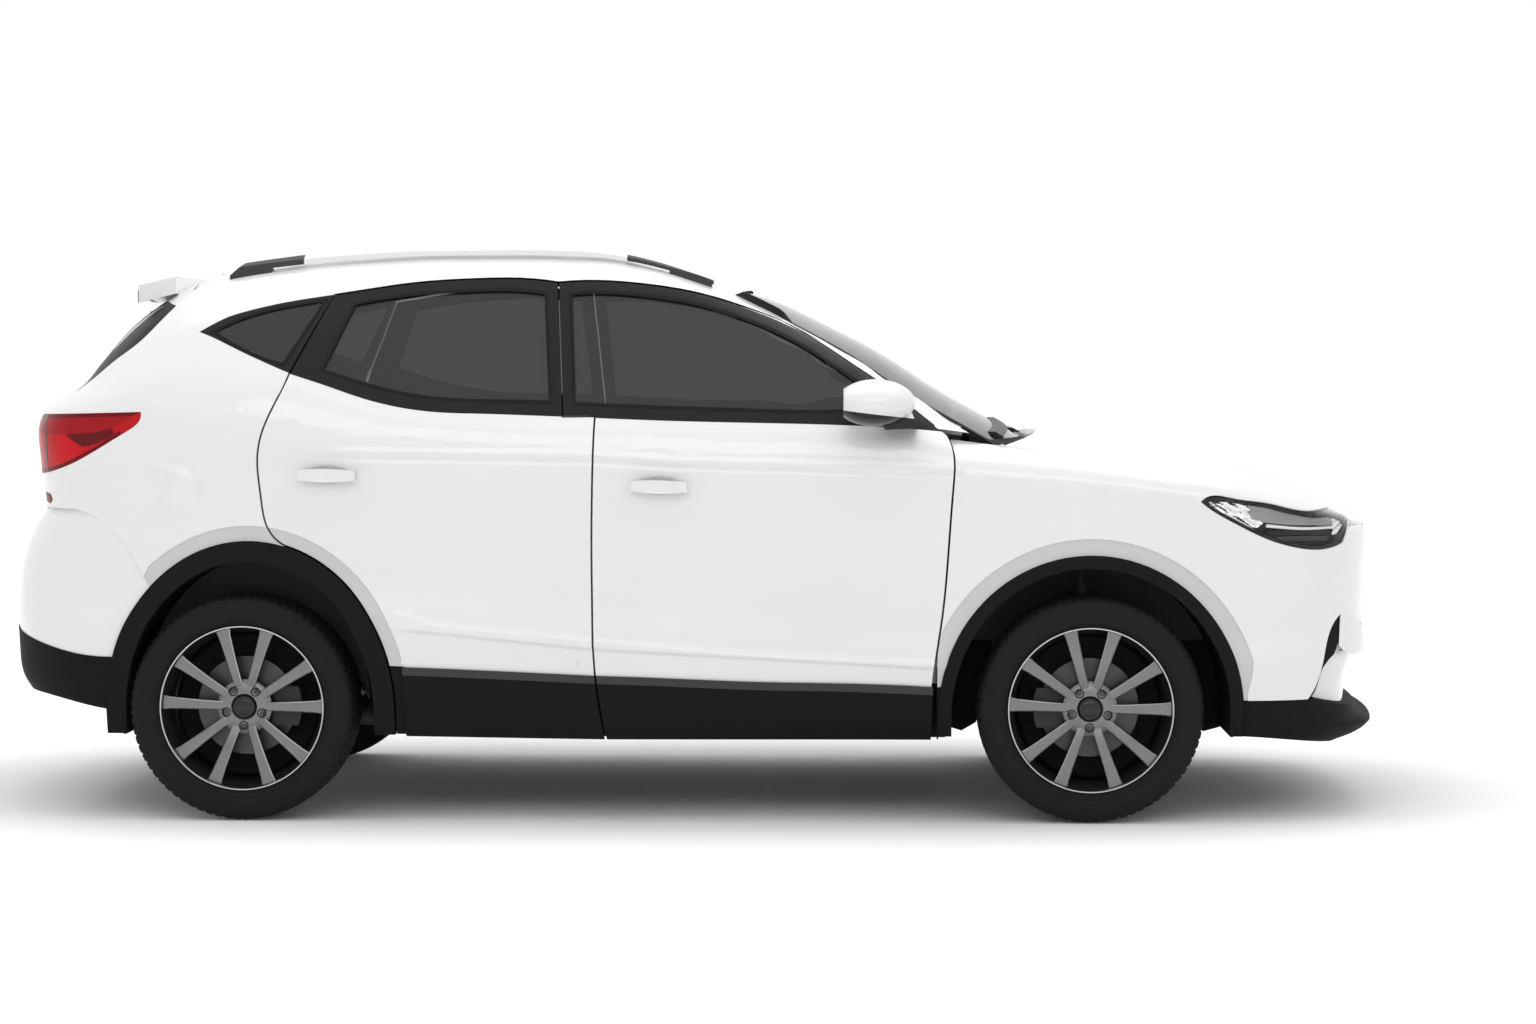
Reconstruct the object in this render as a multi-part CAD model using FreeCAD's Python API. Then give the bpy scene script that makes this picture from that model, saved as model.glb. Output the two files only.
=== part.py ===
"""A compact five-door sport utility car, built as separate panels, doors, wheels and running gear.

Frame: millimetres, +X forward, +Y to the car's left, +Z up. The origin is on the ground, in the middle of the
car's length and width. The body's skin comes from a few curves: plan taper, side section, roof line, bonnet line,
nose and tail profiles. Each panel is a thick slab under that skin, cut to its own outline.
"""
import FreeCAD, Part
import math
import os

Vector = FreeCAD.Vector

# Overall sizes
wheelbase = 2565.0
front_axle_x = 1222.0
rear_axle_x = front_axle_x - wheelbase
half_width_max = 905.0
nose_reach = 2156.0
tail_reach = 2156.0

# Wheels and tyres
tyre_radius = 342.0
tyre_width = 222.0
wheel_y = 770.0
rim_radius = 257.0
rim_width = 200.0
spoke_count = 10
spoke_start = 88.5
lug_count = 5
lug_circle_radius = 57.0

# Brakes and steering
disc_radius = 150.0
stub_radius = 24.0
column_shaft_radius = 18.0
running_gap = 0.08
rail_seat = -2.0

# Hinge lines of the doors, bonnet and tailgate
front_hinge = (804.0, -906.0)
rear_hinge = (-242.0, -906.0)
arm_radius = 80.0
arm_width = 12.0
arm_height = 20.0
arm_levels = (480.0, 980.0)
tailgate_hinge = (-1528.0, 1667.0)
bonnet_hinge = (958.0, 1134.0)
bulkhead_x = 786.3
bulkhead_thickness = 12.0
ball_radius = 16.0
strut_top_radius = 26.0
hinge_pin_radius = 3.5
hinge_barrel_radius = 6.0
kingpin_foot = (1226.0, -690.0, 190.0)
kingpin_head = (1206.0, -570.0, 800.0)

# Panel thicknesses and clearances
panel_gap = 5.0
seam_gap = 3.0
seat_gap = 0.3
skin_thickness = 12.0
door_thickness = 96.0
frame_thickness = 40.0
glass_thickness = 5.0
glass_inset = 7.0
trim_thickness = 9.0
trim_proud = 9.0
pillar_thickness = 46.0

# Wheel arches, as half ellipses about the wheel's hub height
arch_half_length_front = 459.0
arch_height_front = 480.0
arch_half_length_rear = 440.0
arch_height_rear = 520.0
arch_trim_front = 40.0
arch_trim_rear = 62.0
arch_centre_z = 330.0


def pchip(points):
    """A smooth curve through (t, value) pairs that never overshoots; straight beyond its ends."""
    ts = [p[0] for p in points]
    vs = [p[1] for p in points]
    count = len(ts)
    steps = [ts[i + 1] - ts[i] for i in range(count - 1)]
    slopes = [(vs[i + 1] - vs[i]) / steps[i] for i in range(count - 1)]
    tangents = [slopes[0]]
    for i in range(1, count - 1):
        a, b = slopes[i - 1], slopes[i]
        if a * b <= 0:
            tangents.append(0.0)
        else:
            wa = 2 * steps[i] + steps[i - 1]
            wb = steps[i] + 2 * steps[i - 1]
            tangents.append((wa + wb) / (wa / a + wb / b))
    tangents.append(slopes[-1])

    def value(t):
        if t <= ts[0]:
            return vs[0] + tangents[0] * (t - ts[0])
        if t >= ts[-1]:
            return vs[-1] + tangents[-1] * (t - ts[-1])
        i = 0
        while t > ts[i + 1]:
            i += 1
        h = steps[i]
        s = (t - ts[i]) / h
        return (
            vs[i] * (1 + 2 * s) * (1 - s) ** 2
            + h * tangents[i] * s * (1 - s) ** 2
            + vs[i + 1] * s * s * (3 - 2 * s)
            + h * tangents[i + 1] * s * s * (s - 1)
        )

    return value


# The skin's curves
plan_taper = pchip([(-2150, 66), (-1750, 24), (-1250, 5), (-400, 0), (600, 0), (1150, 4), (1700, 26), (2150, 80)])
crease_height = pchip([(-2100, 560), (-1000, 600), (-757, 592), (-274, 556), (218, 518), (689, 495), (2100, 470)])
shoulder_height = pchip([(-2150, 1090), (-600, 1085), (700, 1060), (1200, 1042), (1700, 975), (2100, 830)])
belt_height = pchip([(-2100, 1330), (-1300, 1318), (-934, 1262), (-560, 1232), (-33, 1213), (442, 1201), (760, 1180), (1200, 1150), (1700, 1080), (2100, 940)])
section_inset = pchip([(170, 100), (260, 50), (340, 28), (430, 15), (500, 5), (520, 2), (545, 3), (620, 15), (720, 19), (860, 14), (980, 6), (1080, 0), (1150, 8), (1215, 36), (1260, 58), (1340, 92), (1440, 134), (1540, 180), (1640, 232), (1740, 290)])
roof_line = pchip([(-1790, 1588), (-1682, 1622), (-1495, 1674), (-1218, 1725), (-1000, 1748), (-766, 1762), (-500, 1763), (-186, 1744), (-60, 1722), (76, 1682), (224, 1630)])
bonnet_line = pchip([(900, 1192), (1174, 1160), (1395, 1133), (1600, 1103), (1760, 1064), (1870, 1022), (2010, 956), (2090, 918), (2150, 886)])
screen_line = pchip([(1185, 985), (1300, 778), (1411, 606), (1507, 440), (1569, 330), (1620, 216), (1665, 96), (1720, -60)])
tail_line = pchip([(650, -2058), (900, -2064), (979, -2069), (1040, -2076), (1113, -2083), (1181, -2086), (1222, -2078), (1250, -2050), (1304, -1962), (1420, -1862), (1566, -1732), (1640, -1668)])
rear_bumper_line = pchip([(300, -2080), (376, -2112), (417, -2136), (460, -2147), (548, -2152), (609, -2156), (724, -2148), (821, -2126), (891, -2095), (935, -2062), (960, -2040)])
nose_line = pchip([(300, 2104), (420, 2112), (500, 2136), (545, 2136), (600, 2124), (700, 2126), (800, 2132), (850, 2140), (886, 2156), (930, 2180)])
lip_line = pchip([(200, 2008), (220, 2040), (250, 2112), (272, 2142), (289, nose_reach - 3), (300, 2126), (315, 2104), (345, 2098), (420, 2098)])
block_setback = 40.0

roof_crown = 1.15e-4
bonnet_crown = 0.9e-4
screen_bow = 2.6e-4
tail_bow = 2.0e-4
nose_bow = 1.6e-4
roof_round = 95.0
pillar_round = 75.0
tail_round = 150.0
header_round = 90.0
shoulder_round = 75.0
corner_round = 250.0
bumper_round = 190.0


def half_width(x, z):
    """Half the body's width at a station and height, before its corners are rounded."""
    keys = pchip([
        (170, 170), (260, 260), (crease_height(x), 520), ((crease_height(x) + shoulder_height(x)) / 2, 800),
        (shoulder_height(x), 1080), (belt_height(x), 1215), (1640, 1640), (1740, 1740),
    ])
    return half_width_max - plan_taper(x) - section_inset(keys(z))


def round_off(a, b, radius):
    """The depth inside two faces whose shared edge is rounded to a radius."""
    if a >= radius or b >= radius:
        return min(a, b)
    return radius - math.hypot(radius - a, radius - b)


def cabin_depth(x, y, z):
    """How far a point lies under the skin of the cabin and the tail."""
    depth = half_width(x, z) - abs(y)
    depth = round_off(depth, (x - tail_line(z) - tail_bow * y * y) * 0.85, tail_round)
    depth = round_off(depth, (screen_line(z) - screen_bow * y * y - x) * 0.5, pillar_round)
    return round_off(depth, roof_line(x) - roof_crown * y * y - z, roof_round)


def tail_depth(x, y, z):
    """How far a point lies under the skin of the rear bumper."""
    return round_off(half_width(x, z) - abs(y), x - rear_bumper_line(z) - tail_bow * y * y, bumper_round)


def front_depth(x, y, z):
    """How far a point lies under the skin of the fenders, the nose and the bonnet."""
    depth = round_off(half_width(x, z) - abs(y), nose_line(z) - nose_bow * y * y - x, corner_round)
    return round_off(depth, bonnet_line(x) - bonnet_crown * y * y - z, shoulder_round)


def lip_depth(x, y, z):
    """How far a point lies under the skin of the dark lower trim, whose front is a thin lip."""
    return round_off(half_width(x, z) - abs(y), lip_line(z) - nose_bow * y * y - x, corner_round)


def crossing(depth, start, direction, level):
    """The point where a ray from inside the car reaches a given depth under its skin."""
    low, high = 0.0, 1500.0
    for _ in range(26):
        middle = (low + high) / 2
        p = start + direction * middle
        if depth(p.x, p.y, p.z) > level:
            low = middle
        else:
            high = middle
    return start + direction * ((low + high) / 2)


def spread(low, high, count):
    """Evenly spaced values from low to high, both ends included."""
    return [low + (high - low) * i / (count - 1) for i in range(count)]


def smooth_face(rows):
    """A smooth surface through a grid of points."""
    surface = Part.BSplineSurface()
    surface.interpolate(rows)
    return surface


def slab(depth, rays, outer, inner):
    """The solid between two depths under the skin, over a grid of rays."""
    skins = []
    for level in (outer, inner):
        skins.append(smooth_face([[crossing(depth, start, way, level) for start, way in row] for row in rays]))
    faces = [s.toShape() for s in skins]
    for pick in range(4):
        edges = []
        for s in skins:
            u0, u1, v0, v1 = s.bounds()
            if pick < 2:
                edges.append(s.uIso([u0, u1][pick]).toShape())
            else:
                edges.append(s.vIso([v0, v1][pick - 2]).toShape())
        faces.append(Part.makeRuledSurface(edges[0], edges[1]))
    shell = Part.makeShell(faces)
    shell.sewShape()
    solid = Part.makeSolid(Part.Shell(shell.Faces))
    if solid.Volume < 0:
        solid.reverse()
    return solid


def curve_edges(points, place):
    """A straight edge through two points, or one smooth edge through more."""
    spots = [place(a, b) for a, b in points]
    if len(spots) == 2:
        return Part.makeLine(spots[0], spots[1])
    curve = Part.BSplineCurve()
    curve.interpolate(spots)
    return curve.toShape()


def closed(runs):
    """Runs of points joined end to end, with straight runs added where two do not meet."""
    full = []
    for i, run in enumerate(runs):
        full.append(run)
        after = runs[(i + 1) % len(runs)][0]
        if math.dist(run[-1], after) > 1e-6:
            full.append([run[-1], after])
    return full


def prism(runs, view, low, high):
    """An outline drawn in the side, front or plan view, pushed from low to high across it."""
    places = {
        "side": (lambda a, b: Vector(a, low, b), Vector(0, high - low, 0)),
        "front": (lambda a, b: Vector(low, a, b), Vector(high - low, 0, 0)),
        "plan": (lambda a, b: Vector(a, b, low), Vector(0, 0, high - low)),
    }
    place, push = places[view]
    wire = Part.Wire([curve_edges(run, place) for run in closed(runs)])
    return Part.Face(wire).extrude(push)


def tangents(run):
    """The direction of a run at each of its points."""
    if len(run) == 2:
        way = (run[1][0] - run[0][0], run[1][1] - run[0][1])
        size = math.hypot(*way)
        return [(way[0] / size, way[1] / size)] * 2
    curve = Part.BSplineCurve()
    curve.interpolate([Vector(a, b, 0) for a, b in run])
    ways = []
    for a, b in run:
        way = curve.tangent(curve.parameter(Vector(a, b, 0)))[0]
        ways.append((way.x, way.y))
    return ways


def grown(runs, distance):
    """The same outline moved outward by a distance, or inward where it is negative."""
    runs = closed(runs)
    area = 0.0
    for run in runs:
        for p, q in zip(run, run[1:]):
            area += p[0] * q[1] - q[0] * p[1]
    side = distance if area > 0 else -distance
    moved = []
    ways = []
    for run in runs:
        way = tangents(run)
        ways.append(way)
        moved.append([(p[0] + w[1] * side, p[1] - w[0] * side) for p, w in zip(run, way)])
    for i in range(len(moved)):
        j = (i + 1) % len(moved)
        p, q = moved[i][-1], moved[j][0]
        a, b = ways[i][-1], ways[j][0]
        turn = a[0] * b[1] - a[1] * b[0]
        if abs(turn) > 0.05:
            t = ((q[0] - p[0]) * b[1] - (q[1] - p[1]) * b[0]) / turn
            corner = (p[0] + a[0] * t, p[1] + a[1] * t)
        else:
            corner = ((p[0] + q[0]) / 2, (p[1] + q[1]) / 2)
        moved[i][-1] = corner
        moved[j][0] = corner
    return moved


def largest(shape):
    """The biggest solid of a shape."""
    return max(shape.Solids, key=lambda s: s.Volume)


def mirrored(shape):
    """The same shape on the car's other side."""
    return shape.mirror(Vector(0, 0, 0), Vector(0, 1, 0))


def both_sides(shape):
    """A right-hand solid together with its left-hand mirror image."""
    return Part.makeCompound(shape.Solids + mirrored(shape).Solids)


def box(x0, x1, y0, y1, z0, z1):
    """A block between opposite corners."""
    return Part.makeBox(x1 - x0, y1 - y0, z1 - z0, Vector(x0, y0, z0))


def rod(start, end, radius):
    """A round bar between two points."""
    start, end = Vector(*start), Vector(*end)
    return Part.makeCylinder(radius, start.distanceToPoint(end), start, end - start)


def turned(profile, x, y, z):
    """A ring turned about the line along Y through a point, from (radius, offset) points."""
    points = [Vector(x + r, y + offset, z) for r, offset in profile]
    wire = Part.makePolygon(points + [points[0]])
    return Part.Face(wire).revolve(Vector(x, y, z), Vector(0, 1, 0), 360)


def rounded(shape, radius, pick):
    """Fillets on the edges that a test picks, left sharp where the kernel can't round them."""
    edges = [e for e in shape.Edges if pick(e)]
    if not edges:
        return shape
    try:
        return shape.makeFillet(radius, edges)
    except Part.OCCError:
        return shape


# Rays that sweep the body side from the tailgate's edge to the windscreen, and up to the roof's edge
def side_rays(stations, heights):
    """Rays outward to the right side: each station is (x, turn), each height is (z, tilt)."""
    rows = []
    for x, turn in stations:
        row = []
        for z, tilt in heights:
            a, b = math.radians(turn), math.radians(tilt)
            row.append((Vector(x, 0, z), Vector(math.sin(a) * math.cos(b), -math.cos(a) * math.cos(b), math.sin(b))))
        rows.append(row)
    return rows


def up_rays(xs, ys, base):
    """Vertical rays over a rectangle."""
    return [[(Vector(x, y, base), Vector(0, 0, 1)) for y in ys] for x in xs]


def along_rays(ys, zs, start, way):
    """Rays forward or backward over a rectangle in the front view."""
    return [[(Vector(start, y, z), Vector(way, 0, 0)) for z in zs] for y in ys]


def ring_sector(centre, inner, outer, start, stop, z, height):
    """Part of a flat ring about an upright line, between two angles from +X."""
    ring = Part.makeCylinder(outer, height, Vector(centre[0], centre[1], z), Vector(0, 0, 1), stop - start)
    ring.rotate(Vector(centre[0], centre[1], 0), Vector(0, 0, 1), start)
    return ring.cut(Part.makeCylinder(inner, height, Vector(centre[0], centre[1], z)))


def hinge_arms(centre, reach):
    """Curved arms about a door's hinge line, on bars that reach inboard to the pillar."""
    arms = []
    for z in arm_levels:
        low = z - arm_height / 2
        arms.append(ring_sector(centre, arm_radius - arm_width / 2, arm_radius + arm_width / 2, 101, 170, low, arm_height))
        arms.append(box(centre[0] - 34, centre[0] - 18, centre[1] + arm_radius - 8, centre[1] + reach, low, low + arm_height))
    return arms


def arm_slots(centre):
    """The room that the arms need in the door."""
    slots = []
    for z in arm_levels:
        low = z - arm_height / 2 - seat_gap
        high = arm_height + 2 * seat_gap
        slots.append(ring_sector(centre, arm_radius - arm_width / 2 - seat_gap, arm_radius + arm_width / 2 + seat_gap, 40, 172, low, high))
        slots.append(ring_sector(centre, arm_radius - arm_width, arm_radius + 45, 40, 120, low - 2, high + 4))
    return slots


nodes = {}

# Outlines of the doors and windows in the side view
split_upper = [(-367, 1224), (-396, 1632)]
split_step = [(-270, 1225), (-367, 1224)]
split_lower = [(-240, 262), (-262, 375), (-277, 615), (-279, 855), (-270, 1225)]
front_door_top = [(-396, 1632), (-290, 1637), (-129, 1626), (23, 1601), (184, 1553), (346, 1483), (506, 1381), (600, 1318), (700, 1240), (788, 1170)]
front_door_front = [(788, 1170), (806, 1120), (806, 1011), (793, 831), (773, 615), (750, 462), (744, 262)]
front_door = [front_door_top, front_door_front, [(744, 262), (-240, 262)], split_lower, split_step, split_upper]
rear_door_top = [(-1080, 1594), (-960, 1613), (-839, 1630), (-640, 1643), (-515, 1644), (-396, 1632)]
rear_arch_x = -1318.0
rear_arch_edge = []
for turn in range(75, -1, -15):
    a = math.radians(turn)
    reach_x = arch_half_length_rear + panel_gap / 2
    reach_z = arch_height_rear + panel_gap / 2
    rear_arch_edge.append((rear_arch_x + reach_x * math.cos(a), arch_centre_z + reach_z * math.sin(a)))
rear_door_rear = [(-1197, 1351), (-1240, 1250), (-1272, 1173), (-1284, 1100), (-1276, 992), (-1252, 880), rear_arch_edge[0]]
rear_door = [
    split_upper, rear_door_top[::-1], [(-1080, 1594), (-1197, 1351)], rear_door_rear, rear_arch_edge,
    [rear_arch_edge[-1], (rear_arch_edge[-1][0], 262)], [(rear_arch_edge[-1][0], 262), (-240, 262)], split_lower, split_step,
]

front_window = [[(-330, 1268), (-352, 1592)], [(-352, 1592), (-290, 1596), (-129, 1586), (23, 1561), (184, 1512), (330, 1446), (490, 1343), (600, 1262)], [(600, 1262), (440, 1246), (200, 1249), (-33, 1256), (-330, 1268)]]
rear_window = [[(-410, 1272), (-436, 1594)], [(-436, 1594), (-515, 1603), (-640, 1603), (-839, 1590), (-1012, 1562)], [(-1012, 1562), (-1092, 1368)], [(-1092, 1368), (-934, 1318), (-769, 1286), (-600, 1277), (-410, 1272)]]
quarter_window = [[(-1218, 1386), (-1112, 1572)], [(-1112, 1572), (-1230, 1552), (-1345, 1520), (-1430, 1480)], [(-1430, 1480), (-1340, 1430), (-1218, 1386)]]


def ellipse_arch(centre, half_length, height, y0, y1):
    """A wheel-arch cutter: half an ellipse standing on a block that reaches below the car."""
    curve = [(centre + half_length * math.cos(math.radians(a)), arch_centre_z + height * math.sin(math.radians(a))) for a in range(0, 181, 15)]
    return prism([curve, [(centre - half_length, arch_centre_z), (centre - half_length, 60)], [(centre - half_length, 60), (centre + half_length, 60)]], "side", y0, y1)


def front_arch(extra):
    return ellipse_arch(front_axle_x, arch_half_length_front + extra, arch_height_front + extra, -1200, -300)


def rear_arch(extra):
    return ellipse_arch(rear_arch_x, arch_half_length_rear + extra, arch_height_rear + extra, -1200, -300)


arch_grid_heights = [(z, 0) for z in spread(180, 1060, 16)]

# Body side: one curved slab from the tailgate's edge to the windscreen, with the door openings cut through it
side_stations = [(-1500, a) for a in (-74, -66, -58, -50, -42, -34, -24, -12)] + [(x, 0) for x in spread(-1500, 500, 15)] + [(500, a) for a in (10, 20, 30)]
side_heights = [(z, 0) for z in spread(225, 1250, 16)] + [(1250, b) for b in (5, 10, 15, 20, 25, 30, 34, 38, 42)]
side_grid = side_rays(side_stations, side_heights)
roof_edge_y = 560.0
tailgate_outline = [
    [(-520, 705), (520, 705)], [(520, 705), (610, 940)], [(610, 940), (630, 1100), (640, 1245), (650, 1310), (640, 1420), (608, 1560), (596, 1700)],
    [(596, 1700), (596, 1900)], [(596, 1900), (-596, 1900)], [(-596, 1900), (-596, 1700)],
    [(-596, 1700), (-608, 1560), (-640, 1420), (-650, 1310), (-640, 1245), (-630, 1100), (-610, 940)], [(-610, 940), (-520, 705)],
]
tailgate_front_x = tailgate_hinge[0] - panel_gap / 2
screen_outline = [[(-716, 1135), (716, 1135)], [(716, 1135), (690, 1300), (655, 1420), (610, 1530), (560, 1592)], [(560, 1592), (300, 1610), (0, 1617), (-300, 1610), (-560, 1592)], [(-560, 1592), (-610, 1530), (-655, 1420), (-690, 1300), (-716, 1135)]]
tail_lamp = [[(-1640, 1238), (-2200, 1222)], [(-2200, 1222), (-2200, 1040)], [(-2200, 1040), (-1950, 1053), (-1870, 1076), (-1770, 1127), (-1690, 1175), (-1640, 1222), (-1640, 1238)]]
bumper_seam = [[(-2400, 945), (-1880, 945)], [(-1880, 945), (-1800, 930), (-1730, 880), (-1640, 745)], [(-1640, 745), (-1400, 300)], [(-1400, 300), (-1400, 100)], [(-1400, 100), (-2400, 100)]]

body_side = slab(cabin_depth, side_grid, 0, pillar_thickness)
body_side = body_side.cut([
    prism(grown(front_door, panel_gap / 2 + 0.5), "side", -1200, -300),
    prism(grown(rear_door, panel_gap / 2 + 0.5), "side", -1200, -300),
    prism(grown(quarter_window, seat_gap), "side", -1200, -300),
    prism(grown(tail_lamp, seat_gap), "side", -1200, -400),
    prism(bumper_seam, "side", -1200, 0),
    prism(grown(screen_outline, seat_gap), "front", 100, 1200),
    prism(grown(tailgate_outline, panel_gap + 1), "front", -2400, tailgate_front_x + panel_gap),
    box(-2400, 1200, -roof_edge_y - seam_gap, 0, 1500, 2000),
    rear_arch(seat_gap),
    box(745, 1300, -1200, 0, 0, 1190),
    box(-1100, 1300, -1200, 0, 0, 262),
])
body_side = largest(body_side)

# Inner structure: sill, centre pillar and hinge pillar, behind the doors
inner_side = box(-860, 786, -750, -690, 250, 400)
pillar_heights = [(z, 0) for z in spread(300, 1250, 8)] + [(1250, b) for b in (8, 16, 24, 32)]
pillar_stations = [(x, 0) for x in spread(-420, -200, 4)]
centre_pillar = slab(cabin_depth, side_rays(pillar_stations, pillar_heights), frame_thickness + 8, 165)
centre_pillar = centre_pillar.common(prism([[(-390, 320), (-230, 320)], [(-230, 320), (-235, 1200)], [(-235, 1200), (-350, 1660)], [(-350, 1660), (-430, 1660)], [(-430, 1660), (-390, 1200)]], "side", -1200, -300))
lower_room = slab(cabin_depth, side_rays([(x, 0) for x in spread(-500, -100, 5)], [(z, 0) for z in spread(200, 1230, 10)]), -60, door_thickness + 8)
upper_room = slab(cabin_depth, side_rays(pillar_stations, [(1250, b) for b in (-2, 4, 8, 14, 20, 26, 34)]), 92, 260)
centre_pillar = largest(centre_pillar.cut([lower_room, upper_room]))
hinge_pillar = box(700, 786, -750, -690, 250, 1100)
inner_side = inner_side.fuse([centre_pillar, hinge_pillar] + hinge_arms(front_hinge, 160) + hinge_arms(rear_hinge, 116))
nodes["body_sides"] = both_sides(body_side.fuse(inner_side))


# Roof, from the windscreen to the tailgate
roof_rays = up_rays(spread(-1800, 330, 16), spread(-620, 620, 13), 900)
roof = slab(cabin_depth, roof_rays, 0, skin_thickness)
roof = roof.common(box(tailgate_front_x + panel_gap, 400, -roof_edge_y, roof_edge_y, 1400, 1900))
roof = largest(roof.cut(prism(grown(screen_outline, seat_gap), "front", 100, 1200)))
nodes["roof_panel"] = roof

# Windscreen
screen_rays = []
for v in spread(-1, 1, 15):
    row = []
    for z in spread(1060, 1640, 12):
        row.append((Vector(-200, v * (760 - 0.26 * (z - 1060)), z), Vector(1, 0, 0)))
    screen_rays.append(row)
screen = slab(cabin_depth, screen_rays, 2, 2 + glass_thickness)
screen = largest(screen.common(prism(screen_outline, "front", -100, 1300)))
nodes["windscreen"] = screen

# Doors
door_stations = [(x, 0) for x in spread(-1310, 500, 16)] + [(500, a) for a in (7, 14, 22)]
door_heights = [(z, 0) for z in spread(225, 1250, 16)] + [(1250, b) for b in (5, 10, 15, 20, 25, 30, 35)]
door_grid = side_rays(door_stations, door_heights)
door_skin = slab(cabin_depth, door_grid, 0, 22)
door_frame = slab(cabin_depth, door_grid, 14, frame_thickness)
door_core = slab(cabin_depth, door_grid, 30, door_thickness)
door_glass = slab(cabin_depth, door_grid, glass_inset, glass_inset + glass_thickness)
clad_skin = slab(cabin_depth, door_grid, -trim_proud, -seat_gap)
belt_room = prism([[(-1400, 200), (900, 200)], [(900, 200), (900, 1165)], [(900, 1165), (440, 1190), (-33, 1200), (-560, 1215), (-934, 1250), (-1250, 1330)], [(-1250, 1330), (-1400, 1330)]], "side", -1200, -300)
handle_bar = slab(cabin_depth, door_grid, -40, -28)
handle_foot = slab(cabin_depth, door_grid, -32, 5)


def door(outline, window, bar, feet, hinge):
    skin = door_skin.common(prism(grown(outline, -panel_gap / 2 - 0.5), "side", -1200, -300))
    core = prism(grown(outline, -18), "side", -1200, -300)
    body = skin.fuse([door_frame.common(core), door_core.common(core).common(belt_room)])
    body = largest(body.cut([prism(window, "side", -1200, -300)] + arm_slots(hinge)))
    parts = [handle_bar.common(prism(bar, "side", -1200, -300))]
    for x in feet:
        parts.append(handle_foot.common(box(x - 14, x + 14, -1200, -300, (bar[0][0][1] + bar[1][0][1]) / 2 - 9, (bar[0][0][1] + bar[1][0][1]) / 2 + 9)))
    return largest(body.fuse(parts).removeSplitter())


front_handle = [[(-159, 1006), (-156, 1034)], [(-156, 1034), (-70, 1036), (10, 1030)], [(10, 1030), (12, 1002)], [(12, 1002), (-70, 996), (-159, 1006)]]
rear_handle = [[(-1159, 1036), (-1156, 1066)], [(-1156, 1066), (-1070, 1069), (-986, 1062)], [(-986, 1062), (-984, 1034)], [(-984, 1034), (-1070, 1029), (-1159, 1036)]]
front_door_right = door(front_door, front_window, front_handle, (-140, -5), front_hinge)
for z in arm_levels:
    arm_room = box(rear_hinge[0] - 40, rear_hinge[0] - 5, rear_hinge[1] + 60, rear_hinge[1] + 120, z - 16, z + 16)
    front_door_right = largest(front_door_right.cut(arm_room))
rear_door_right = door(rear_door, rear_window, rear_handle, (-1140, -1005), rear_hinge)
nodes["front_door_right"] = front_door_right
nodes["front_door_left"] = mirrored(front_door_right)
nodes["rear_door_right"] = rear_door_right
nodes["rear_door_left"] = mirrored(rear_door_right)
front_pane = largest(door_glass.common(prism(grown(front_window, -seat_gap), "side", -1200, -300)))
rear_pane = largest(door_glass.common(prism(grown(rear_window, -seat_gap), "side", -1200, -300)))
nodes["front_door_glass_right"] = front_pane
nodes["front_door_glass_left"] = mirrored(front_pane)
nodes["rear_door_glass_right"] = rear_pane
nodes["rear_door_glass_left"] = mirrored(rear_pane)
front_clad = [[(-266, 445), (-100, 440), (218, 428), (480, 424), (747, 414)], [(747, 414), (741, 250)], [(741, 250), (-236, 250)], [(-236, 250), (-258, 375), (-266, 445)]]
rear_clad = [[(-852, 470), (-600, 460), (-272, 445)], [(-272, 445), (-264, 375), (-243, 250)], [(-243, 250), (-843, 258)], [(-843, 258), (-852, 470)]]
front_cladding = largest(clad_skin.common(prism(front_clad, "side", -1200, -300)))
rear_cladding = largest(clad_skin.common(prism(rear_clad, "side", -1200, -300)))
nodes["front_door_cladding_right"] = front_cladding
nodes["front_door_cladding_left"] = mirrored(front_cladding)
nodes["rear_door_cladding_right"] = rear_cladding
nodes["rear_door_cladding_left"] = mirrored(rear_cladding)
quarter_pane = largest(slab(cabin_depth, side_grid, 4, 4 + glass_thickness).common(prism(quarter_window, "side", -1200, -300)))
nodes["quarter_glass"] = both_sides(quarter_pane)
lamp = slab(cabin_depth, side_grid, -1.5, 42).common(prism(tail_lamp, "side", -1200, -400))
lamp = largest(lamp.cut(prism(grown(tailgate_outline, panel_gap + 1), "front", -2400, -1500)))
nodes["tail_lamps"] = both_sides(lamp)


# Tailgate: one slab over the rear face and the back of the roof, with its window, and the roof spoiler on it
tail_fan = [(z, 0) for z in spread(680, 1300, 12)] + [(1300, b) for b in (8, 16, 24, 32, 40, 48, 56, 62)]
tail_rays = []
for y in spread(-680, 680, 19):
    row = []
    for z, tilt in tail_fan:
        b = math.radians(tilt)
        row.append((Vector(-1300, y, z), Vector(-math.cos(b), 0, math.sin(b))))
    tail_rays.append(row)
tailgate_cut = prism(tailgate_outline, "front", -2400, tailgate_front_x - 1)
rear_glass_outline = [
    [(-500, 1262), (500, 1262)], [(500, 1262), (578, 1310)], [(578, 1310), (572, 1420), (548, 1545)],
    [(548, 1545), (-548, 1545)], [(-548, 1545), (-572, 1420), (-578, 1310)], [(-578, 1310), (-500, 1262)],
]
tailgate = slab(cabin_depth, tail_rays, 0, 34).common(tailgate_cut)
tailgate = tailgate.cut(prism(rear_glass_outline, "front", -2400, -1600))
spoiler_side = [[(-1590, 1652), (-1700, 1626), (-1796, 1599)], [(-1796, 1599), (-1800, 1578)], [(-1800, 1578), (-1760, 1571), (-1690, 1576)], [(-1690, 1576), (-1590, 1600)]]
spoiler_edge = [(-1792 + 2.5e-4 * y * y, y) for y in spread(-590, 590, 9)]
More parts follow.
